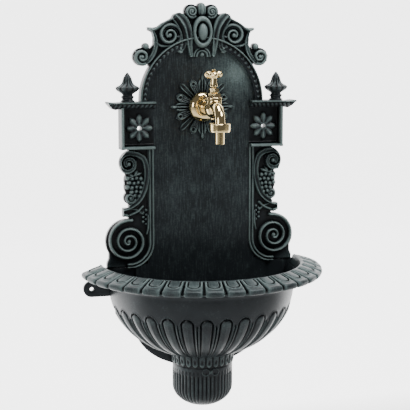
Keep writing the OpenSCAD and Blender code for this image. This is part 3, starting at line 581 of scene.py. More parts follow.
def lay(height, x, z, path, width, base, rise, form="round"):
    """Lay a band along a path over a height map. width, base and rise are numbers or lists spread
    along the path; form is round (half a circle), hollow (a trough between two rims), leaf (a rib
    with falling sides) or flute (three rounded ribs)."""
    wide = np.max(width)
    spot = ((x > path[:, 0].min() - wide) & (x < path[:, 0].max() + wide)
            & (z > path[:, 1].min() - wide) & (z < path[:, 1].max() + wide))
    if not spot.any():
        return height
    d, t = across(x[spot], z[spot], path)

    def spread(value):
        """A number or a list, read off at each point's place along the path."""
        value = np.atleast_1d(np.asarray(value, float))
        return np.interp(t, np.linspace(0, 1, value.size), value)

    q = d / np.maximum(spread(width), 0.05)
    body = np.sqrt(np.clip(1 - q ** 2, 0, 1))
    if form == "hollow":
        skirt = np.sqrt(np.clip((1 - np.abs(q)) / 0.22, 0, 1))
        body = skirt * (0.45 + 0.55 * np.clip(np.abs(q) / 0.8, 0, 1) ** 2.2)
    elif form == "leaf":
        body = np.clip(1 - np.abs(q), 0, 1) ** 0.8 * 0.75 + 0.25 * body
    elif form == "flute":
        body = body * (0.72 + 0.28 * np.cos(3 * math.pi * q))
    laid = np.where(np.abs(q) < 1, spread(base) + spread(rise) * body, -1e3)
    out = height.copy()
    out[spot] = np.maximum(height[spot], laid)
    return out


def dome(height, x, z, cx, cz, rx, rz, base, rise, turn_deg=0.0):
    """Lay half an ellipsoid over a height map."""
    c, s = math.cos(math.radians(turn_deg)), math.sin(math.radians(turn_deg))
    u = ((x - cx) * c + (z - cz) * s) / rx
    v = (-(x - cx) * s + (z - cz) * c) / rz
    lump = base + rise * np.sqrt(np.clip(1 - u ** 2 - v ** 2, 0, 1))
    return np.where(u ** 2 + v ** 2 < 1, np.maximum(height, lump), height)


curl_x_mm, curl_z_mm = 131.0, -61.0
grape_z_mm = -95.0
small_curl_mm = (125.0, -117.5)
volute_x_mm, volute_z_mm = 129.5, -191.5
c_scroll = np.vstack([spline([(139, -136.5), (124, -131.5), (110.5, -121.5), (101.5, -105), (97.5, -86),
                              (97.5, -66), (102.5, -51), (113, -43.5)], 10),
                      spiral(128.5, curl_z_mm + 1.5, 19.0, 5.0, 115, -1.42, 0.9)])
big_volute = spiral(volute_x_mm, volute_z_mm, 36.6, 3.8, 100, -2.55, 0.86)
inner_ring = spline([(95.0, -148), (94.6, -160), (95.4, -172), (97.5, -180)], 8)
ridge_paths = [np.vstack([np.array([[x, block_foot_mm], [x, -198.0]]),
                          spiral(volute_x_mm, -198.0, volute_x_mm - x, volute_x_mm - x - 4.5, 180, 0.25)])
               for x in (86.0, 91.5)]


def side_edge(x, z):
    """The strip by the panel, the curl, the grapes, the bracket, the spiral, and the foot, whose
    outer side leans inward as it rises to the rim."""
    leaning = x + 3.5 * step_up(z, rim_top_mm, rim_top_mm + 12)
    parts = [box_edge(x, z, 84.0, rim_top_mm - 5.5, 127.5, -33.0),
             disc_edge(x, z, 120.0, curl_z_mm + 2.0, 22.5),
             disc_edge(x, z, 113.5, grape_z_mm - 4, 21.0),
             disc_edge(x, z, 115.0, grape_z_mm + 7, 19.5),
             disc_edge(x, z, 124.5, -118.0, 11.0),
             box_edge(x, z, 100.0, -150.0, 137.5, -135.0),
             disc_edge(x, z, volute_x_mm, volute_z_mm, 37.8),
             box_edge(leaning, z, 100.0, rim_top_mm - 5.5, 165.5, -205.0)]
    return union(*parts)


def grapes(h, x, z):
    """Five staggered rows of round berries under a few small leaves."""
    for row_z, count, first in ((-85, 4, 107.5), (-92.5, 4, 104.5), (-100, 4, 107.5),
                                (-107.5, 3, 108.0), (-114.5, 2, 110.5)):
        for i in range(count):
            h = dome(h, x, z, first + 7.4 * i, row_z + 1.2 * (i % 2), 4.3, 4.3, 11.0, 6.8)
    for foot, tip, width in (((118, -80), (106, -75), 3.6), ((119, -80), (113, -71), 3.4),
                             ((121, -80), (128, -77), 3.4), ((120, -80), (131, -84), 3.0)):
        h = lay(h, x, z, spline([foot, tip], 6), [width * 0.6, width, 0.4], 12.5, 5.0, "leaf")
    return h


def side_height(x, z):
    """A sunk ground with the grapes, the scrolls, the bracket and the double ridge laid over it."""
    h = np.full(x.shape, 8.5)
    h = np.maximum(h, 8.5 + 1.5 * step_up(-side_edge(x, z), 0.0, 2.0))
    h = grapes(h, x, z)
    # the curl's leafy lining and its eye
    eye_x, eye_z = curl_x_mm - 3, curl_z_mm + 1
    h = lay(h, x, z, spiral(eye_x, eye_z, 12.0, 4.0, 150, -1.0), [5.5, 4.0], 10.0, 4.5, "flute")
    h = dome(h, x, z, eye_x, eye_z, 4.6, 4.6, 12.0, 6.5)
    h = lay(h, x, z, c_scroll, [3.4, 4.6, 4.6, 4.4, 3.6, 2.6], [11, 12, 12, 12, 13, 13], 6.5, "hollow")
    # small curl that closes the bunch
    h = lay(h, x, z, spiral(*small_curl_mm, 8.4, 3.0, 200, 1.25), [2.7, 1.8], 11.5, 5.6)
    h = dome(h, x, z, *small_curl_mm, 3.4, 3.4, 12.0, 6.0)
    # stepped bracket with a crossed leaf, and the berries beside it
    steps = np.array([[138.5, -137.0], [138.5, -145.0], [130.0, -147.0], [130.0, -154.0]])
    down_leaf = spline([(104, -133), (113, -141), (127, -147)], 8)
    up_leaf = spline([(104, -146), (112, -139.5), (122, -136)], 8)
    h = lay(h, x, z, steps, 1.9, 12.0, 4.5)
    h = lay(h, x, z, down_leaf, [2.6, 3.6, 2.0], 10.5, 5.4, "leaf")
    h = lay(h, x, z, up_leaf, [2.4, 3.0, 1.6], 10.5, 4.4, "leaf")
    for i in range(7):
        h = dome(h, x, z, 98.2 + 5.0 * (i % 2), -139.5 - 3.9 * i, 2.9, 2.9, 9.5, 4.6)
    # large spiral: a narrow ridge over a sloping floor
    r = np.hypot(x - volute_x_mm, z - volute_z_mm)
    floor = 9.0 + 4.5 * step_up(35 - r, 0, 30)
    h = np.where(r < 36, np.maximum(h, floor), h)
    h = lay(h, x, z, big_volute, [2.5, 2.5, 2.3, 2.1, 1.8], [12.5, 13, 14, 15, 16], 6.2)
    h = dome(h, x, z, volute_x_mm, volute_z_mm, 4.2, 4.2, 15.0, 6.0)
    h = lay(h, x, z, inner_ring, [1.2, 1.9, 2.1, 1.4], 11.0, 5.5)
    for path in ridge_paths:
        h = lay(h, x, z, path, 1.9, panel_mm - 1.0, 4.2)
    return h


def side_back(x, z):
    """Hollow behind, but for a wall round the outside."""
    return np.where(side_edge(x, z) > -sheet_mm, 0.0, 3.5)


for hand, side in ((-1, "left"), (1, "right")):
    scroll = relief("side_scroll_" + side, (82, 170), (rim_top_mm - 8, -32), 0.66, side_edge, side_height,
                    side_back, relief_finish, hand, depth=1.9)
    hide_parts("back_plate")


# ---------------------------------------------------------------------------------------------
# Back plate, crest: an oval cabochon between two sweeping leaves, with shell swirls to the sides,
# drooping scrolls at the ends and three lobes on top. It is cast in one with the arch.
crest_finish = cast_finish("crest_cast", 0.74)
crown = np.array([(0, 118), (24, 118.5), (32, 123), (44, 126), (52, 132), (62, 131), (78, 117), (92, 103),
                  (93, 128), (88, 133), (83, 139), (82.5, 150), (84.5, 158), (88, 160.5), (92, 162),
                  (92, 167.5), (84, 166.8), (76, 168), (68, 174), (52, 182), (48, 188.5), (40, 191.5),
                  (31, 189.5), (20, 196), (8, 200), (0, 203)], float)


def inside_of(x, z, corners):
    """True inside a closed outline: a ray to the right crosses it an odd number of times."""
    odd = np.zeros(x.shape, bool)
    for (x0, z0), (x1, z1) in zip(corners, np.roll(corners, -1, 0)):
        if z0 != z1:
            odd ^= ((z0 > z) != (z1 > z)) & (x < (x1 - x0) * (z - z0) / (z1 - z0) + x0)
    return odd


end_scroll_mm = (103.0, 118.3)
side_lobe_mm = (17.3, 193.0)
swirl_mm = (56.0, 154.5)
leaf_curl_mm = (37.5, 132.5)


def crest_edge(x, z):
    """One half of the crown's outline, mirrored, with the end scrolls and the lobes added."""
    u = np.abs(x)
    closed = np.vstack([crown, [(-3, 203), (-3, 118), (0, 118)]])
    d, _ = across(u, z, closed)
    main = np.where(inside_of(u, z, closed), -np.abs(d), np.abs(d))
    return union(main, disc_edge(u, z, *end_scroll_mm, 15.0), disc_edge(u, z, 96.0, 135.3, 6.0),
                 disc_edge(u, z, *side_lobe_mm, 12.6), np.hypot(x / 0.82, z - 198.2) - 10.3)


crest_leaf = spline([(43, 189), (33.5, 181), (26.5, 169), (23.0, 154), (22.0, 138), (19.5, 121)], 12)
outer_leaf = spline([(50, 184), (40, 174), (33.5, 160), (31.5, 146), (33.0, 134), (37.5, 127)], 12)
swirl = spiral(*swirl_mm, 21.0, 4.5, 215, -1.7, 0.9)
tip_leaf = spline([(47, 183), (62, 176.5), (74, 168), (83, 163.5), (91.5, 165.0)], 10)
drop_leaf = spline([(84, 160), (80.5, 150), (79.5, 138), (83, 125), (91, 113), (99, 107)], 10)
end_scroll = spiral(*end_scroll_mm, 12.6, 4.0, 250, 1.35, 0.9)
foot_leaf = spline([(36, 152), (44, 142), (56, 136.5), (70, 136.5), (80, 143)], 10)


def crest_height(x, z):
    """The crest's ornaments, laid over its ground one after another from the outside in."""
    u = np.abs(x)
    h = np.full(x.shape, 9.5)
    arc_r = np.hypot(u, z - arch_centre_mm)
    h = np.maximum(h, 9.5 + 5.0 * np.sqrt(np.clip(1 - ((arc_r - 105.3) / 2.0) ** 2, 0, 1)))
    # shell swirls: fluted fans behind a spiral rim
    h = lay(h, u, z, spiral(*swirl_mm, 14.5, 6.0, 190, -1.25), [6.5, 4.5], 9.5, 6.0, "flute")
    h = lay(h, u, z, swirl, [3.4, 3.0, 2.4, 2.0], [11.5, 12.5, 13.0], 5.2)
    h = dome(h, u, z, 56.0, 154.0, 4.4, 4.4, 12.0, 6.6)
    h = lay(h, u, z, foot_leaf, [2.0, 3.0, 3.0, 1.6], 10.5, 4.6, "leaf")
    h = lay(h, u, z, spline([(36, 156), (40, 151.5), (45, 152)], 8), [2.0, 3.0, 1.2], 11.0, 5.2)
    # leaf tips that sweep out to the points, and down to the drooping scrolls
    h = lay(h, u, z, tip_leaf, [3.0, 6.0, 5.2, 3.6, 2.2], [11.0, 11.0, 11.5], 6.0, "leaf")
    h = lay(h, u, z, drop_leaf, [2.2, 3.4, 3.6, 3.8, 2.4], 11.0, 5.6, "hollow")
    h = lay(h, u, z, end_scroll, [3.4, 3.0, 2.2], [11.0, 12.5], 5.6)
    h = dome(h, u, z, 103.0, 118.0, 4.2, 4.2, 12.0, 6.0)
    h = dome(h, u, z, 96.0, 135.3, 5.7, 5.7, 9.5, 6.5)
    for angle in (-62, -28, 6, 40):
        out = np.array([math.cos(math.radians(angle)), math.sin(math.radians(angle))])
        ray = np.array([end_scroll_mm + 6 * out, end_scroll_mm + 14.6 * out])
        h = lay(h, u, z, ray, [2.0, 3.4, 1.2], 10.5, 3.6, "leaf")
    # the two tall leaves on each side of the cabochon
    h = lay(h, u, z, outer_leaf, [4.0, 5.8, 5.2, 4.2, 3.6, 2.4], [12.0, 12.5, 12.5], 6.2, "hollow")
    h = lay(h, u, z, spiral(*leaf_curl_mm, 6.4, 2.4, 250, 1.1), [2.2, 1.6], 12.0, 5.0)
    h = dome(h, u, z, *leaf_curl_mm, 2.6, 2.6, 13.0, 5.4)
    h = lay(h, u, z, crest_leaf, [5.0, 7.4, 6.4, 5.4, 4.4, 3.0], [13.5, 14.5, 14.5, 13.5], 7.0, "hollow")
    # three lobes on top, the outer two coiled
    h = lay(h, u, z, spiral(*side_lobe_mm, 10.0, 2.6, 235, 1.75, 0.9), [2.7, 2.4, 1.8], [11.5, 13.0], 5.0)
    h = dome(h, u, z, 17.3, 192.5, 3.0, 3.6, 13.0, 5.4)
    h = dome(h, x, z, 0.0, 196.0, 7.8, 12.4, 11.0, 8.0)
    h = np.where((np.abs(x) < 7.4) & (z > 184), h - 1.5 * np.exp(-((np.abs(x) - 3.1) / 0.8) ** 2), h)
    # cabochon: a rolled oval rim round a smooth dome
    oval = np.hypot(x / 14.2, (z - 159.5) / 21.8)
    rim = 16.5 + 7.5 * np.sqrt(np.clip(1 - ((oval - 1.0) / 0.22) ** 2, 0, 1))
    h = np.where(np.abs(oval - 1.0) < 0.22, np.maximum(h, rim), h)
    h = np.where(oval < 0.80, 15.0, h)
    h = dome(h, x, z, 0.0, 159.5, 9.6, 16.2, 15.0, 12.5)
    # a small shell with a bead at the foot
    fan = np.hypot(x, z - 119.0)
    for r, rise in ((14.0, 3.8), (9.5, 4.4)):
        rib = 12.5 + rise * np.sqrt(np.clip(1 - ((fan - r) / 1.9) ** 2, 0, 1))
        h = np.where((np.abs(fan - r) < 1.9) & (z > 118), np.maximum(h, rib), h)
    h = dome(h, x, z, 0.0, 122.0, 3.8, 3.8, 13.0, 5.5)
    return h


crest = relief("crest", (-120, 120), (100, 211), 0.72, crest_edge, crest_height,
               on_wall, crest_finish)
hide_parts("back_plate")


# ---------------------------------------------------------------------------------------------
# Rosette: a loose casting of sixteen petals under the tap's flange: four lobed leaves with a
# pointed rib, four spoon-shaped tongues half way between them, and a curled leaf beside each.
rosette_front_mm = -box_mm("tap_rosette")[0].y


def petal_place(x, z):
    """Distance out from the centre, distance off the nearest petal's middle line, and the kind of petal:
    0 for a lobed leaf, 1 for a spoon, 2 for a curled leaf."""
    r = np.hypot(x, z - tap_height_mm)
    turn = np.arctan2(z - tap_height_mm, x) / (math.pi / 8)
    nearest = np.round(turn)
    off = np.abs(turn - nearest) * (math.pi / 8) * r
    kind = np.where(nearest % 2 == 1, 2, np.where(nearest % 4 == 0, 0, 1))
    return r, off, kind


def petal_half(r, kind):
    """Half the width of each kind of petal at a distance out."""
    leaf = np.interp(r, [18, 27, 35, 41, 45, 48, 51, 56], [4.2, 6.2, 9.0, 8.6, 5.5, 3.0, 2.6, 0.3])
    spoon = np.interp(r, [18, 30, 42, 48, 52, 55], [3.0, 3.4, 4.9, 5.2, 3.8, 0.3])
    curled = np.interp(r, [18, 27, 36, 42, 46, 49.5], [3.4, 4.6, 6.6, 7.2, 5.4, 0.3])
    return np.where(kind == 0, leaf, np.where(kind == 1, spoon, curled))


def rosette_edge(x, z):
    """Petals with round tips about a disc, less the bore."""
    r, off, kind = petal_place(x, z)
    reach = np.where(kind == 0, 56.0, np.where(kind == 1, 55.0, 49.5))
    petal = np.where(r < reach, off - petal_half(r, kind), np.hypot(off, r - reach))
    return np.maximum(np.minimum(petal, r - 24.0), 10.9 - r)


def ridge(value, at, half):
    """A rounded ridge of height 1 where `value` passes `at`: a bell curve."""
    return np.exp(-((value - at) / half) ** 2)


def rosette_height(x, z):
    """Each kind of petal has its own ridges and grooves along its middle line; the hub is a disc."""
    r, off, kind = petal_place(x, z)
    q = np.clip(off / petal_half(r, kind), 0, 1)
    leaf = 3.0 * np.sqrt(1 - (2 * np.clip(q, 0.25, 1) - 1.25) ** 2 / 0.6) + 2.6 * ridge(off, 0, 1.5)
    leaf -= 2.2 * ridge(off, 2.6, 0.7)
    spoon = 1.8 + 3.2 * ridge(q, 0.72, 0.20) + 1.2 * ridge(off, 0, 0.7) * step_up(46 - r, 0, 4)
    ring = np.hypot(r - 41.5, off)
    curled = 2.2 + 1.7 * ridge(q, 0.80, 0.16) + 1.6 * ridge(off, 1.5, 0.8) * step_up(38 - r, 0, 4)
    curled += 2.0 * ridge(ring, 3.3, 0.9) - 1.6 * ridge(ring, 0, 1.8)
    petal = np.where(kind == 0, leaf, np.where(kind == 1, spoon, curled))
    h = panel_mm + 1.2 + petal * step_up(1.02 - q, 0, 0.22)
    hub = panel_mm + 7.0 - 1.6 * step_up(r, 20, 24.5) + 0.9 * ridge(r, 27.5, 1.0)
    return np.where(r < 24.2, np.maximum(h, hub), h)


rosette = relief("rosette", (-59, 59), (tap_height_mm - 59, tap_height_mm + 59), 0.6,
                 rosette_edge, rosette_height, lambda x, z: np.full(x.shape, panel_mm),
                 cast_finish("rosette_cast", 0.50), depth=1.3)
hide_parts("tap_rosette")


# ---------------------------------------------------------------------------------------------
# Finials: two ribbed buds of the same painted metal, cast on their own. They stand on the cornices
# on threaded studs.

def turned(name, profile, lift, finish, at=(0.0, 0.0), axis="z", turns=128, depth=0.8, shape=None,
           body="fountain", sharp=40.0):
    """A piece turned about an axis: the profile is (radius, place along the axis), from pole to
    pole or round a closed ring, and each point is pushed out by lift(angle, place along the axis).
    shape(radius, angle) trims the radius."""
    profile = np.asarray(profile, float)
    ring = profile[0, 0] > 1e-6
    angle, share = np.meshgrid(np.linspace(0, 2 * math.pi, turns, endpoint=False),
                               np.linspace(0, 1, len(profile)), indexing="ij")
    loop = np.vstack([profile[-1:], profile, profile[:1]]) if ring else np.vstack([
        profile[:1] - (profile[1:2] - profile[:1]) * [-1, 1], profile, profile[-1:]])
    run = loop[2:] - loop[:-2]
    normal = np.stack([run[:, 1], -run[:, 0]], -1)
    normal /= np.maximum(np.hypot(normal[:, 0], normal[:, 1])[:, None], 1e-9)
    push = lift(angle, profile[:, 1][None, :] + 0 * angle) * np.ones(angle.shape)
    r = profile[:, 0][None, :] + normal[:, 0][None, :] * push
    along = profile[:, 1][None, :] + normal[:, 1][None, :] * push
    if shape is not None:
        r = shape(r, angle)
    r = np.where(profile[:, 0][None, :] > 1e-6, r, 0.0)
    if axis == "z":
        points = np.stack([at[0] + r * np.cos(angle), at[1] + r * np.sin(angle), along], -1)
    else:
        points = np.stack([at[0] + r * np.cos(angle), -along, at[1] + r * np.sin(angle)], -1)
    number = np.arange(angle.size).reshape(angle.shape)
    if not ring:
        number[:, 0] = number[0, 0]
        number[:, -1] = number[0, -1]
    p, t = number, np.roll(number, -1, 0)
    if ring:
        faces = np.stack([p, t, np.roll(t, -1, 1), np.roll(p, -1, 1)], -1).reshape(-1, 4)
        faces = faces.tolist()
    else:
        faces = np.stack([p[:, 1:-2], t[:, 1:-2], t[:, 2:-1], p[:, 2:-1]], -1).reshape(-1, 4).tolist()
        faces += np.stack([p[:, 0], t[:, 1], p[:, 1]], -1).tolist()
        faces += np.stack([p[:, -2], t[:, -2], p[:, -1]], -1).tolist()
    wear_and_shade = wear_and_shade_of(push, 0.8, reach=2.4, depth=depth).reshape(-1)
    if isinstance(finish, bpy.types.Material):
        piece = make_piece(name, points.reshape(-1, 3), faces, wear_and_shade, finish, body, sharp)
        tidy_mesh(piece)
        return piece
    return points.reshape(-1, 3), faces


def tidy_mesh(piece):
    """Join doubled points at poles and seams, drop unused ones, and turn every face outwards."""
    import bmesh
    work = bmesh.new()
    work.from_mesh(piece.data)
    bmesh.ops.remove_doubles(work, verts=work.verts, dist=1e-6)
    loose = [v for v in work.verts if not v.link_faces]
    bmesh.ops.delete(work, geom=loose, context="VERTS")
    bmesh.ops.recalc_face_normals(work, faces=work.faces)
    work.to_mesh(piece.data)
    work.free()


def curve_through(points, per_leg=5):
    """A smooth profile through a few (radius, height) points, kept off the far side of the axis."""
    path = spline(points, per_leg)
    path[:, 0] = np.maximum(path[:, 0], 0.0)
    path[0], path[-1] = points[0], points[-1]
    return path


finial_finish = cast_finish("finial_cast", 0.52)
bud_height_mm = 48.5
for side in ("left", "right"):
    low, high = box_mm("finial_" + side)
    middle = (low + high) / 2
    half = (high.x - low.x) / 2
    base = low.z

    def bud_ribs(a, z):
        """Twelve leaves round the cup and the tip, a small bead under the cup."""
        up = (z - base) / bud_height_mm
        cup = step_up(up, 0.33, 0.42) * step_up(0.97 - up, 0, 0.3)
        return -1.5 * cup * (1 - np.abs(np.cos(6 * a))) ** 1.5

    bud = [(0, 0), (11, 0), (11.1, 2.4), (9.4, 3.4), (9.2, 5.6), (10.6, 7.4), (10.4, 9.2),
           (8.6, 10.8), (8.9, 12.6), (11.2, 14.4), (15.2, 17.0), (half - 1.2, 19.6), (half, 22.2),
           (half - 0.4, 24.2), (half - 2.6, 25.6), (13.4, 27.4), (10.2, 30.2), (8.4, 34.0),
           (7.4, 38.0), (5.6, 42.0), (3.2, 45.4), (1.2, 48.0), (0, bud_height_mm)]
    bud = [(r, base + h) for r, h in bud]
    finial = turned("finial_bud_" + side, curve_through(bud, 4), bud_ribs, finial_finish,
                    at=(middle.x, middle.y), depth=1.0)
    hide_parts("finial_" + side)


# ---------------------------------------------------------------------------------------------
# Bowl: one casting, half round, with a flat back. Its rim slopes outwards and is cut with tongues
# and darts; below a plain band the body is cut with fifteen flutes, and two fine ribs between each.
bowl_finish = cast_finish("bowl_cast", 0.44)
rim_finish = cast_finish("rim_cast", 0.78)
bowl_out_mm = 6.0
rim_outer_mm = box_mm("bowl")[1].x
rim_edge_mm = rim_top_mm - 19.0
lip_mm = rim_edge_mm + 5.0
neck_mm = rim_edge_mm - 18.0
body_mm = 161.5
body_drop_mm = 131.0
floor_mm = rim_edge_mm - 140.0
wall_mm = 7.0
tongue_pitch = math.radians(9.5)
flute_pitch = math.radians(12.0)


def arc_points(cx, cy, rx, ry, a0, a1, count):
    """Points along part of an ellipse, from one angle to another in degrees."""
    a = np.radians(np.linspace(a0, a1, count))
    return np.stack([cx + rx * np.cos(a), cy + ry * np.sin(a)], -1)


def resample(path, step):
    """The same path with points a step apart."""
    legs = np.hypot(*np.diff(path, axis=0).T)
    run = np.concatenate([[0], np.cumsum(legs)])
    at = np.linspace(0, run[-1], max(2, int(round(run[-1] / step)) + 1))
    return np.stack([np.interp(at, run, path[:, 0]), np.interp(at, run, path[:, 1])], -1)


def half_turned(name, profile, angles, out, lift, finish, reach, depth):
    """A ring section carried round the half circle in front of an upright axis `out` mm from the
    wall, and then straight back to the wall. The closed profile runs anticlockwise, and
    lift(angle, r, z) pushes along its normal."""
    loop = np.vstack([profile[-1:], profile, profile[:1]])
    run = loop[2:] - loop[:-2]
    normal = np.stack([run[:, 1], -run[:, 0]], -1)
    normal /= np.hypot(normal[:, 0], normal[:, 1])[:, None]
    a = np.concatenate([[math.pi], angles, [0.0]])[:, None]
    r0, z0 = profile[:, 0][None, :], profile[:, 1][None, :]
    push = lift(a + 0 * r0, r0 + 0 * a, z0 + 0 * a)
    r = r0 + normal[:, 0] * push
    z = z0 + normal[:, 1] * push
    y = -(out + r * np.sin(a))
    y[0], y[-1] = 0.0, 0.0
    points = np.stack([r * np.cos(a), y, z], -1)
    number = np.arange(r.size).reshape(r.shape)
    p, t = number[:-1], number[1:]
    faces = np.stack([p, t, np.roll(t, -1, 1), np.roll(p, -1, 1)], -1).reshape(-1, 4).tolist()
    faces += [number[0].tolist(), number[-1][::-1].tolist()]
    wear_and_shade = wear_and_shade_of(push, 1.0, reach=reach, depth=depth).reshape(-1)
    return make_piece(name, points.reshape(-1, 3), faces, wear_and_shade, finish, sharp=50.0)


def rim_lift(a, r, z):
    """Tongues 9.5 degrees apart: a flat U with a groove round it, a raised border, and a dart
    between. Only the sloping top and the outer edge are cut."""
    u = ((a - math.pi / 2) / tongue_pitch + 0.5) % 1.0 * 2 - 1
    half = 0.5 * tongue_pitch * r
    side = np.abs(u) * half
    t = np.clip((r - 178.0) / 29.0, -0.2, 1.2)
    down = t * 29.0
    tongue = 0.60 * half
    end = 21.0
    past = np.maximum(down - (end - tongue), 0)
    edge = np.hypot(side, past) - tongue
    edge = np.where(down < end - tongue, side - tongue, edge)
    groove = -2.3 * ridge(edge, 0, 1.0)
    inset = 0.9 * np.clip(-edge / 6.0, 0, 1)
    border = 0.9 * ridge(edge, 2.3, 1.5)
    dart = -5.4 * ridge(half - side, 0, 1.0 + 1.3 * np.clip(t, 0, 1))
    outer = step_up(r, 176.0, 180.0)
    scallop = -1.3 * np.abs(u) ** 5 * step_up(r, 200, 206)
    return np.where(z > rim_edge_mm - 9, (groove + inset + border + dart) * outer + scallop, 0)


rim_profile = np.vstack([
    [(body_mm + 3, neck_mm + 16.0)],
    arc_points(rim_outer_mm - 8, neck_mm, rim_outer_mm - 8 - body_mm, lip_mm - 7 - neck_mm, 140, 90, 16),
    arc_points(rim_outer_mm - 6.6, lip_mm - 1, 6.4, 6, -70, 60, 14),
    resample(np.array([(rim_outer_mm - 3.4, lip_mm + 4.2), (177.7, rim_top_mm - 0.9)]), 0.9),
    arc_points(176, rim_top_mm - 5.3, 5, 5, 75, 175, 8),
    [(body_mm + 5, neck_mm + 25.5)]])
rim_angles = np.linspace(math.pi, 0, 1081)
bowl_rim = half_turned("bowl_rim", rim_profile, rim_angles, bowl_out_mm, rim_lift, rim_finish, 3.2, 1.15)
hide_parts("bowl")


def flute_lift(a, r, z):
    """Fifteen flutes 12 degrees apart: each a swelling with a round head inside a groove, and
    between two of them a pair of ribs under a pointed head. All of it narrows with the radius."""
    u = ((a - math.pi / 2) / flute_pitch + 0.5) % 1.0 * 2 - 1
    half = 0.5 * flute_pitch * r
    side = np.abs(u) * half
    down = np.maximum(neck_mm - 33.0 - z, -60.0)
    wide = 0.60 * half
    head = np.maximum(wide - down, 0)
    edge = np.where(down < wide, np.hypot(side, head) - wide, side - wide)
    size = np.clip(r / body_mm, 0.2, 1)
    swell = 2.6 * size * np.sqrt(np.clip(-edge / np.maximum(wide, 1), 0, 1))
    groove = -2.4 * size * ridge(edge, 0.2, 1.25 * size)
    gap = half - side
    rib_at = 1.9 * size
    ribs = 2.0 * size * ridge(gap, rib_at, 0.95 * size) - 1.6 * size * ridge(gap, 0, 0.7 * size)
    collar = 0.8 * size * ridge(edge, 2.4 * size, 1.1 * size)
    ribs = ribs * step_up(down - 7.0 - 1.2 * gap, 0, 5)
    low_end = step_up(z, floor_mm + 0.4, floor_mm + 2.5)
    outside = (z < neck_mm - 2) & (r > 40) & (np.hypot(r / body_mm, (neck_mm - z) / body_drop_mm) > 0.97)
    return np.where(outside, (swell + groove + np.where(edge > 0, ribs + collar, 0)) * low_end, 0)


plate_hole_mm = 55.0
under_rim = arc_points(rim_outer_mm - 8, neck_mm, rim_outer_mm - 8 - body_mm,
                       lip_mm - 7 - neck_mm, 180, 138, 10)
outer_curve = np.vstack([[(plate_hole_mm, floor_mm)],
                         arc_points(0, neck_mm, body_mm, body_drop_mm, -68.6, 0, 84), under_rim])
outer_curve = resample(outer_curve, 1.35)
inner_curve = np.vstack([arc_points(170, neck_mm, 15.5, 31.0, 128, 180, 8),
                         arc_points(0, neck_mm, body_mm - wall_mm, body_drop_mm - wall_mm, 0, -68.2, 24),
                         [(plate_hole_mm, floor_mm + wall_mm)]])
bowl_body = half_turned("bowl_body", np.vstack([outer_curve, inner_curve]),
                        np.linspace(math.pi, 0, 541), bowl_out_mm, flute_lift, bowl_finish, 3.2, 1.7)
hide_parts("bowl")

drain_low, drain_high = box_mm("drain_body")
drain_out_mm = -(drain_low.y + drain_high.y) / 2


def drilled_plate(name, radius, out, wall_gap, hole_r, low, high, finish):
    """A flat half disc with a round hole for the drain: rays from the hole's centre run out to the
    disc's edge or to the line beside the wall, whichever is nearer."""
    a = np.linspace(0, 2 * math.pi, 240, endpoint=False)
    dx, dy = np.cos(a), np.sin(a)
    back = out - drain_out_mm
    along = dy * back
    far = -along + np.sqrt(along ** 2 + radius ** 2 - back ** 2)
    wall = (drain_out_mm - wall_gap) / np.maximum(dy, 1e-6)
    far = np.where(dy > 0, np.minimum(far, wall), far)
    rings = [(hole_r, high), (far, high), (far, low), (hole_r, low)]
    points = np.stack([np.stack([r * dx, -drain_out_mm + r * dy, 0 * a + z], -1) for r, z in rings])
    number = np.arange(4 * a.size).reshape(4, a.size)
    nxt = np.roll(number, -1, 0)
    faces = np.stack([number, nxt, np.roll(nxt, -1, 1), np.roll(number, -1, 1)], -1).reshape(-1, 4)
    piece = make_piece(name, points.reshape(-1, 3), faces.tolist(), np.full(4 * a.size, 0.4), finish)
    tidy_mesh(piece)
    return piece


bowl_floor = drilled_plate("bowl_floor", plate_hole_mm + 0.5, bowl_out_mm, 0.2, 17.1, floor_mm + 0.02,
                           floor_mm + wall_mm - 0.02, bowl_finish)
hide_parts("bowl")

ear_x_mm, ear_z_mm, ear_r_mm = 192.0, rim_edge_mm - 22.0, 14.0


def bowl_back_edge(x, z):
    """The flat back fills the bowl's half section, and a rounder plate hangs below it behind the
    pendant."""
    u = np.abs(x)
    half_oval = (np.hypot(u / (body_mm - 2), (z - neck_mm) / (body_drop_mm - 2)) - 1) * 129
    inside_bowl = np.maximum(half_oval, z - neck_mm)
    hanging_z = floor_mm + 50.0
    hanging = np.maximum((np.hypot(u / 118.0, (z - hanging_z) / 80.0) - 1) * 80, z - hanging_z)
    half = body_mm - 2 + 12.5 * (z - neck_mm) / 32.0
    upper = np.maximum.reduce([u - half, neck_mm - 1 - z, z - rim_top_mm + 5.9])
    ear = union(disc_edge(u, z, ear_x_mm, ear_z_mm, ear_r_mm),
                box_edge(u, z, 148, ear_z_mm - ear_r_mm, ear_x_mm, ear_z_mm + ear_r_mm))
    return np.maximum(union(inside_bowl, hanging, upper, ear), 3.5 - np.hypot(u - ear_x_mm, z - ear_z_mm))


def bowl_back_height(x, z):
    """Flat, thinner at the ears, with its edge eased."""
    eased = 0.8 * step_up(-bowl_back_edge(x, z), 2.2, 0.0)
    return 8.0 - 2.0 * step_up(np.abs(x), 150, 158) - eased


# the back's finish keeps little verdigris, so that it reads darker: painted shade under the bowl's rim
bowl_back = relief("bowl_back", (-208, 208), (floor_mm - 34, rim_top_mm - 4), 2.0,
                   bowl_back_edge, bowl_back_height, on_wall, cast_finish("back_cast_painted_shade", 0.12))
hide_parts("bowl")


# ---------------------------------------------------------------------------------------------
# Pendant: a reeded casting, open towards the wall, that hides the drain under the bowl. A ring of
# leaf tips goes round its neck, with a small palmette in front.
pendant_low, pendant_high = box_mm("pendant")
pendant_out_mm = 16.0
shaft_mm = 52.5
round_mm = 36.5
notch_out_mm = 8.4
notch_foot_mm = floor_mm - 30.4
pendant_finish = cast_finish("pendant_cast", 0.46)


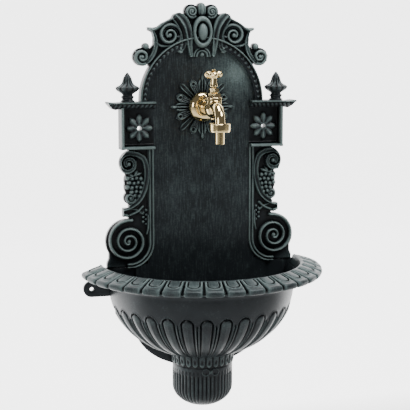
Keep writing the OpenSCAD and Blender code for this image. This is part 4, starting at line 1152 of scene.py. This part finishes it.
def pendant_lift(a, r, z):
    """46 reeds below the neck; on the neck 28 leaf tips with a pip in each; two curls in front
    under it."""
    reed_top = pendant_high.z - 24.0
    reed = 46 * a / 2
    fade = np.clip(r / shaft_mm, 0.0, 1) * step_up(reed_top - z, 0, 6)
    reeds = -2.2 * (1 - np.abs(np.cos(reed)) ** 0.8) * fade
    down = pendant_high.z - z
    lobe = np.abs((a * 28 / (2 * math.pi) + 0.25) % 1.0 * 2 - 1) * 6.2
    tip = 17.5 - 0.16 * lobe ** 2
    leaf = step_up(tip - down, -0.8, 0.8) * (2.6 - 0.035 * lobe ** 2) * step_up(6.2 - lobe, 0.5, 1.8)
    pip = -1.9 * np.exp(-(lobe / 1.5) ** 2 - ((down - 9.0) / 3.2) ** 2)
    leaf = np.where(down < 20, leaf + pip * (down > 2) - 1.1, 0)
    front = (a - math.pi / 2) * shaft_mm
    curls = np.zeros(a.shape)
    for hand in (-1, 1):
        off = np.hypot(front - hand * 8.2, (down - 25.5) * 1.15)
        curls += 1.4 * ridge(off, 6.2, 1.4) - 1.9 * ridge(off, 3.6, 1.5)
    curls += 1.5 * np.exp(-(front / 2.2) ** 2 - ((down - 24) / 6) ** 2)
    return np.where((down < 34) & (down > 15), np.maximum(reeds + leaf, curls - 0.6), reeds + leaf)


shaft_foot_mm = pendant_low.z + round_mm
pendant_wall_mm = 5
neck_profile = [(shaft_mm, pendant_high.z - 18), (shaft_mm + 0.6, pendant_high.z - 15),
                (shaft_mm + 2.4, pendant_high.z - 3), (shaft_mm + 2.4, pendant_high.z)]
outer_side = np.vstack([arc_points(0, shaft_foot_mm, shaft_mm, round_mm, -89.4, 0, 60), neck_profile])
outer_side = resample(outer_side, 1.15)
inner_round = arc_points(0, shaft_foot_mm, shaft_mm - pendant_wall_mm, round_mm - pendant_wall_mm,
                         -89.4, 0, 60)
inner_side = resample(np.vstack([inner_round, [(shaft_mm - pendant_wall_mm, pendant_high.z)]]), 1.0)
at_outer, at_inner = np.linspace(0, 1, len(outer_side)), np.linspace(0, 1, len(inner_side))
inner_side = np.stack([np.interp(at_outer, at_inner, c) for c in inner_side.T], -1)
share = np.linspace(0, 1, 421)[:, None]
layers = []
for side_curve, cut in ((outer_side, pendant_lift), (inner_side, None)):
    r, z = side_curve[:, 0][None, :], side_curve[:, 1][None, :]
    wall_gap = np.where(z > notch_foot_mm, notch_out_mm, 0.0)
    stop = np.arcsin(np.clip((pendant_out_mm - wall_gap) / r, -1, 1))
    a = (math.pi + stop) - share * (math.pi + 2 * stop)
    push = cut(a, r + 0 * a, z + 0 * a) if cut else 0 * a
    r = np.maximum(r + push, 0.05)
    y = np.minimum(-(pendant_out_mm + r * np.sin(a)), -wall_gap)
    if cut:
        under_bowl = np.clip(np.hypot(r * np.cos(a), y + bowl_out_mm) / body_mm, 0, 0.9)
        meets = np.maximum(neck_mm - body_drop_mm * np.sqrt(1 - under_bowl ** 2) - floor_mm, 0)
        z = z + meets * np.clip((z - pendant_high.z + 17) / 17, 0, 1)
    layers.append(np.stack([r * np.cos(a), y, z + 0 * a], -1))
    if cut:
        pendant_wear_and_shade = wear_and_shade_of(push, 0.9, reach=2.6, depth=1.0).reshape(-1)
rows, columns = layers[0].shape[:2]
number = np.arange(rows * columns).reshape(rows, columns)
inside_number = number + rows * columns
shell = np.stack([number[:-1, :-1], number[1:, :-1], number[1:, 1:], number[:-1, 1:]], -1).reshape(-1, 4)
seams = [(number[0], inside_number[0]), (inside_number[-1], number[-1]),
         (inside_number[:, -1], number[:, -1]), (number[:, 0], inside_number[:, 0])]
strips = [np.stack([e[:-1], e[1:], f[1:], f[:-1]], -1) for e, f in seams]
faces = np.concatenate([shell, shell[:, ::-1] + rows * columns] + strips)
pendant_points = np.concatenate([layer.reshape(-1, 3) for layer in layers])
pendant_wear_and_shade = np.concatenate([pendant_wear_and_shade, np.full(rows * columns, 0.4)])
pendant = make_piece("pendant_shell", pendant_points, faces.tolist(), pendant_wear_and_shade, pendant_finish,
                     sharp=60.0)
tidy_mesh(pendant)
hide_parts("pendant")
pendant_top = drilled_plate("pendant_top", shaft_mm - 4.9, pendant_out_mm, notch_out_mm, 17.1,
                            pendant_high.z - 6.0, pendant_high.z - 0.02, pendant_finish)
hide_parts("pendant")


# ---------------------------------------------------------------------------------------------
# Tap: cast and machined brass, polished. The body is one casting: a threaded shank through the
# wall, a barrel, a round chamber and a spout that bends down to the hose union.

def brass_finish(name, base, rough, marks):
    """Polished brass: a faint clouding of tarnish, and fine marks that change the polish."""
    made, shader, at = new_finish(name)
    cloud = at.noise(90.0, 4.0)
    fine = at.noise(1400.0, 2.0, (1.0, 1.0, 0.3))
    dull = ((cloud - 0.46) * 3.0).clamped()
    darker = tuple(0.62 * c for c in base[:3]) + (1,)
    set_socket(shader, (dull * marks).mix(base, darker), "Base Color")
    set_socket(shader, rough + dull * 0.16 + (fine - 0.5) * 0.12, "Roughness")
    shader.inputs["Metallic"].default_value = 1.0
    height = fine + cloud * 0.6
    bump = at.node("ShaderNodeBump", None, {"Strength": 0.12, "Distance": 0.0002, "Height": height})
    set_socket(shader, bump, "Normal")
    return made


polished_brass = brass_finish("polished_brass", (0.90, 0.71, 0.37, 1), 0.05, 0.35)
plain_brass = brass_finish("plain_brass", (0.66, 0.47, 0.20, 1), 0.30, 0.8)
body_low, body_high = box_mm("tap_body")
spindle_low, spindle_high = box_mm("spindle")
union_low, union_high = box_mm("hose_union_nut")
valve_y_mm = (spindle_low.y + spindle_high.y) / 2
spout_y_mm = (union_low.y + union_high.y) / 2
body_top_mm = body_high.z


def no_lift(a, z):
    """A plain turned piece."""
    return 0 * a


def join_shells(name, shells, finish, voxel, passes, body="fountain"):
    """Closed shells that overlap, fused into one skin of small squares and then smoothed, as a
    casting's corners are."""
    points, faces, count = [], [], 0
    for p, f in shells:
        points.append(np.asarray(p, float).reshape(-1, 3))
        faces += [[i + count for i in face] for face in f]
        count += len(points[-1])
    piece = make_piece(name, np.concatenate(points), faces, None, finish, body, 180.0)
    tidy_mesh(piece)
    fuse = piece.modifiers.new("fuse", "REMESH")
    fuse.mode = "VOXEL"
    fuse.voxel_size = voxel * mm
    fuse.use_smooth_shade = True
    soften = piece.modifiers.new("soften", "SMOOTH")
    soften.factor = 0.5
    soften.iterations = passes
    bpy.context.view_layer.update()
    smooth = piece.evaluated_get(bpy.context.evaluated_depsgraph_get())
    ready = bpy.data.meshes.new_from_object(smooth)
    piece.modifiers.clear()
    piece.data = ready
    ready.polygons.foreach_set("use_smooth", [True] * len(ready.polygons))
    if not ready.materials:
        ready.materials.append(finish)
    return piece


def pipe(path, radii, around=40):
    """A round bar along a path in the plane x = 0, given as (y, z), with its own radius at each
    point."""
    run = np.gradient(path, axis=0)
    run /= np.hypot(run[:, 0], run[:, 1])[:, None]
    a = np.linspace(0, 2 * math.pi, around, endpoint=False)
    side = np.stack([-run[:, 1], run[:, 0]], -1)
    r = np.asarray(radii)[:, None]
    x = r * np.cos(a)
    y = path[:, 0:1] + r * np.sin(a) * side[:, 0:1]
    z = path[:, 1:2] + r * np.sin(a) * side[:, 1:2]
    points = np.stack([x, y, z], -1).reshape(-1, 3)
    number = np.arange(len(path) * around).reshape(len(path), around)
    p, t = number[:-1], number[1:]
    faces = np.stack([p, np.roll(p, -1, 1), np.roll(t, -1, 1), t], -1).reshape(-1, 4).tolist()
    return points, faces + [number[0][::-1].tolist(), number[-1].tolist()]


flange_front_mm = rosette_front_mm + 11.0
shank_end = body_high.y
barrel = [(0, -30), (5.5, -30), (5.5, shank_end), (10.0, shank_end), (10.48, shank_end - 0.5),
          (10.48, 0.4), (10.38, 0.0), (10.38, -flange_front_mm + 0.5), (13.2, -flange_front_mm + 0.4),
          (13.2, -flange_front_mm - 3.6), (12.2, -flange_front_mm - 4.8),
          (11.0, -flange_front_mm - 6.5), (10.6, -60), (11.4, -72), (12.2, valve_y_mm + 2),
          (0, valve_y_mm + 1)]
barrel = resample(np.array([(r, -y) for r, y in barrel]), 1.2)
barrel_shell = turned("barrel", barrel, no_lift, None, (0, tap_height_mm), "y", 48)
chamber_foot = [(0, tap_height_mm - 18.6), (3.0, tap_height_mm - 18.4), (4.6, tap_height_mm - 17.4),
                (5.0, tap_height_mm - 15.4)]
chamber_head = [(14.0, tap_height_mm + 8), (14.0, body_top_mm - 0.6), (13.5, body_top_mm),
                (0, body_top_mm)]
chamber_profile = np.vstack([chamber_foot, arc_points(0, tap_height_mm, 15.2, 15.2, -66, 10, 14),
                             chamber_head])
chamber_shell = turned("chamber", resample(chamber_profile, 1.2), no_lift, None, (0, valve_y_mm), "z", 56)
spout_z_mm = tap_height_mm + 4.0
bend_mm = (valve_y_mm - spout_y_mm) - 10.0
bend = arc_points(valve_y_mm - 10.0, spout_z_mm - bend_mm, -bend_mm, bend_mm, 90, 0, 18)
spout_path = np.vstack([[(valve_y_mm, spout_z_mm - 2.0)], bend, [(spout_y_mm, body_low.z)]])
spout_path = resample(spout_path, 1.5)
spout_radii = np.interp(np.linspace(0, 1, len(spout_path)), [0, 0.2, 0.55, 0.8, 1],
                        [11.5, 10.2, 8.9, 8.6, 9.2])
tap_body = join_shells("tap_casting", [barrel_shell, chamber_shell, pipe(spout_path, spout_radii)],
                       polished_brass, 0.55, 5)
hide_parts("tap_body")

flange_profile = np.vstack([[(10.9, rosette_front_mm), (24.4, rosette_front_mm)],
                            arc_points(13.6, rosette_front_mm + 0.8, 11.4, 10.2, 0, 88, 22),
                            [(10.9, flange_front_mm)]])
tap_flange = turned("flange_shell", resample(flange_profile, 0.7), no_lift, polished_brass,
                    (0, tap_height_mm), "y", 96)
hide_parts("tap_flange")


# ---------------------------------------------------------------------------------------------
# Head of the tap: the hexagonal bonnet screws into the body, the gland nut presses the packing
# round the spindle, and the T handle sits on the spindle's square under its screw.

def hexagon(across_flats):
    """Trim a radius to a hexagon: r is at most half the flats over cos(angle from the flat)."""
    def trim(r, a):
        """The nearest flat is at a multiple of 60 degrees."""
        off = (a + math.pi / 6) % (math.pi / 3) - math.pi / 6
        flat = 0.5 * across_flats / np.cos(off)
        return np.minimum(r, flat)
    return trim


def nut(name, node, across_flats, foot, height, bore, top=()):
    """A hexagonal nut with chamfered corners, and whatever is turned above it."""
    corner = across_flats / math.sqrt(3)
    chamfer = 0.45 * (corner - across_flats / 2)
    profile = [(bore, foot), (across_flats / 2 - 0.3, foot), (corner, foot + chamfer),
               (corner, foot + height - chamfer), (across_flats / 2 - 0.3, foot + height)] + list(top)
    profile.append((bore, profile[-1][1]))
    made = turned(name, resample(np.array(profile), 0.5), no_lift, polished_brass, (0, valve_y_mm), "z",
                  144, shape=hexagon(across_flats), sharp=30.0)
    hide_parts(node)


bonnet_top_mm = box_mm("bonnet")[1].z
gland_top_mm = box_mm("gland_nut")[1].z
handle_low, handle_high = box_mm("tee_handle")
bonnet_foot_mm = body_top_mm + 1.0
bonnet_neck = [(7.4, bonnet_foot_mm + 5.5), (6.9, bonnet_foot_mm + 6.2), (6.9, bonnet_top_mm)]
nut("bonnet_hex", "bonnet", 20.6, bonnet_foot_mm, 5.5, 5.2, bonnet_neck)
gland_foot_mm = gland_top_mm - 6.5
nut("gland_hex", "gland_nut", 15.0, gland_foot_mm, 6.5, 4.1)

bar_mm = handle_high.z - 7.6
hub_foot = handle_low.z
hub_profile = np.vstack([[(0, hub_foot), (6.6, hub_foot), (7.2, hub_foot + 0.8), (6.4, hub_foot + 3.0),
                          (5.4, hub_foot + 8.5), (5.2, bar_mm - 4.0)],
                         arc_points(0, bar_mm, 6.6, 7.2, -38, 72, 12),
                         [(2.4, bar_mm + 7.0), (0, bar_mm + 7.0)]])
hub_shell = turned("hub", resample(hub_profile, 0.8), no_lift, None, (0, valve_y_mm), "z", 40)
arm = [(0, -28.1), (2.4, -27.5), (4.6, -26.0), (6.1, -22.0), (5.2, -18.6), (3.6, -16.8),
       (2.7, -15.4), (2.9, -11.0), (3.8, -5.0), (4.2, 0.0)]
arm = curve_through(arm + [(r, -s) for r, s in arm[-2::-1]], 3)
arm_points, arm_faces = turned("arm", arm, no_lift, None, (0, 0), "z", 28)
turn = math.radians(50.0)
off_bar, up_bar, along_bar = arm_points.T
bar_points = np.stack([along_bar * math.cos(turn) - off_bar * math.sin(turn),
                       valve_y_mm + along_bar * math.sin(turn) + off_bar * math.cos(turn),
                       bar_mm + 1.6 + up_bar], -1)
tee = join_shells("tee_casting", [hub_shell, (bar_points, arm_faces)], polished_brass, 0.42, 3,
                  body="handle")
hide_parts("tee_handle")


# ---------------------------------------------------------------------------------------------
# Hose union: a plain round brass collar, screwed on the spout, draws the hose tail up against the
# spout's rubber washer.
tail_low, tail_high = box_mm("hose_tail")
collar_top, collar_foot = union_high.z, union_low.z
collar = [(9.6, collar_top - 3.0), (9.8, collar_top), (16.6, collar_top), (17.3, collar_top - 0.8),
          (17.3, collar_foot + 3.2), (16.9, collar_foot + 2.6), (17.1, collar_foot + 1.8),
          (16.2, collar_foot), (8.0, collar_foot), (8.0, collar_foot + 2.0),
          (13.3, collar_foot + 2.0), (13.3, collar_top - 3.0)]
union_nut = turned("union_collar", resample(np.array(collar[::-1]), 0.6), no_lift, polished_brass,
                   (0, spout_y_mm), "z", 96, sharp=30.0)
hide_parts("hose_union_nut")
tail_foot = tail_low.z
tail_top = tail_high.z
tail = [(5.6, tail_foot + 0.4), (6.0, tail_foot), (7.1, tail_foot), (7.5, tail_foot + 0.5),
        (7.5, collar_foot - 0.2), (7.6, collar_foot), (7.7, tail_top - 2.0), (12.6, tail_top - 2.0),
        (12.6, tail_top), (5.6, tail_top)]
hose_tail = turned("tail_tube", resample(np.array(tail), 0.6), no_lift, polished_brass,
                   (0, spout_y_mm), "z", 64, sharp=30.0)
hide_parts("hose_tail")


# ---------------------------------------------------------------------------------------------
# Fasteners, drain and inner parts of the tap keep their machined shapes, and get their finishes:
# zinc-plated steel, brass from the lathe, black rubber, brown fibre, white packing and grey plastic.

def zinc_finish():
    """Zinc plate: bluish grey crystals, a little brighter and duller from patch to patch."""
    made, shader, at = new_finish("zinc_plate")
    flake = at.node("ShaderNodeTexVoronoi", None, {"Vector": at, "Scale": 260.0}, out=1)
    grey = flake.node("ShaderNodeRGBToBW", None, {0: flake})
    set_socket(shader, grey.mix((0.42, 0.44, 0.46, 1), (0.60, 0.62, 0.64, 1)), "Base Color")
    set_socket(shader, 0.28 + grey * 0.22, "Roughness")
    shader.inputs["Metallic"].default_value = 1.0
    return made


def matt_finish(name, low, high, rough, grain):
    """A dull moulded or pressed material with a fine grain and a slow change of colour."""
    made, shader, at = new_finish(name)
    cloud = at.noise(120.0, 3.0)
    fine = at.noise(grain, 2.0)
    set_socket(shader, cloud.mix(low, high), "Base Color")
    set_socket(shader, rough + (fine - 0.5) * 0.2, "Roughness")
    bump = at.node("ShaderNodeBump", None, {"Strength": 0.25, "Distance": 0.0002, "Height": fine})
    set_socket(shader, bump, "Normal")
    return made


kept_finish = {
    "steel": zinc_finish(),
    "brass": plain_brass,
    "rubber": matt_finish("black_rubber", (0.012, 0.012, 0.013, 1), (0.03, 0.03, 0.032, 1),
                          0.7, 2200.0),
    "fibre": matt_finish("pressed_fibre", (0.05, 0.030, 0.022, 1), (0.09, 0.055, 0.04, 1),
                         0.75, 1500.0),
    "packing": matt_finish("greased_packing", (0.50, 0.46, 0.38, 1), (0.66, 0.62, 0.54, 1),
                           0.6, 1800.0),
    "waste_plastic": matt_finish("grey_plastic", (0.62, 0.62, 0.60, 1), (0.74, 0.74, 0.72, 1),
                                 0.42, 900.0),
    "cast": bowl_finish}
slot_of = {part["node"]: part["material_slot"] for part in frame["record"]["subparts"]}
for name, node in frame["nodes"].items():
    finish = polished_brass if name == "handle_screw" else kept_finish[slot_of[name]]
    for holder in node.material_slots:
        holder.material = finish

import json
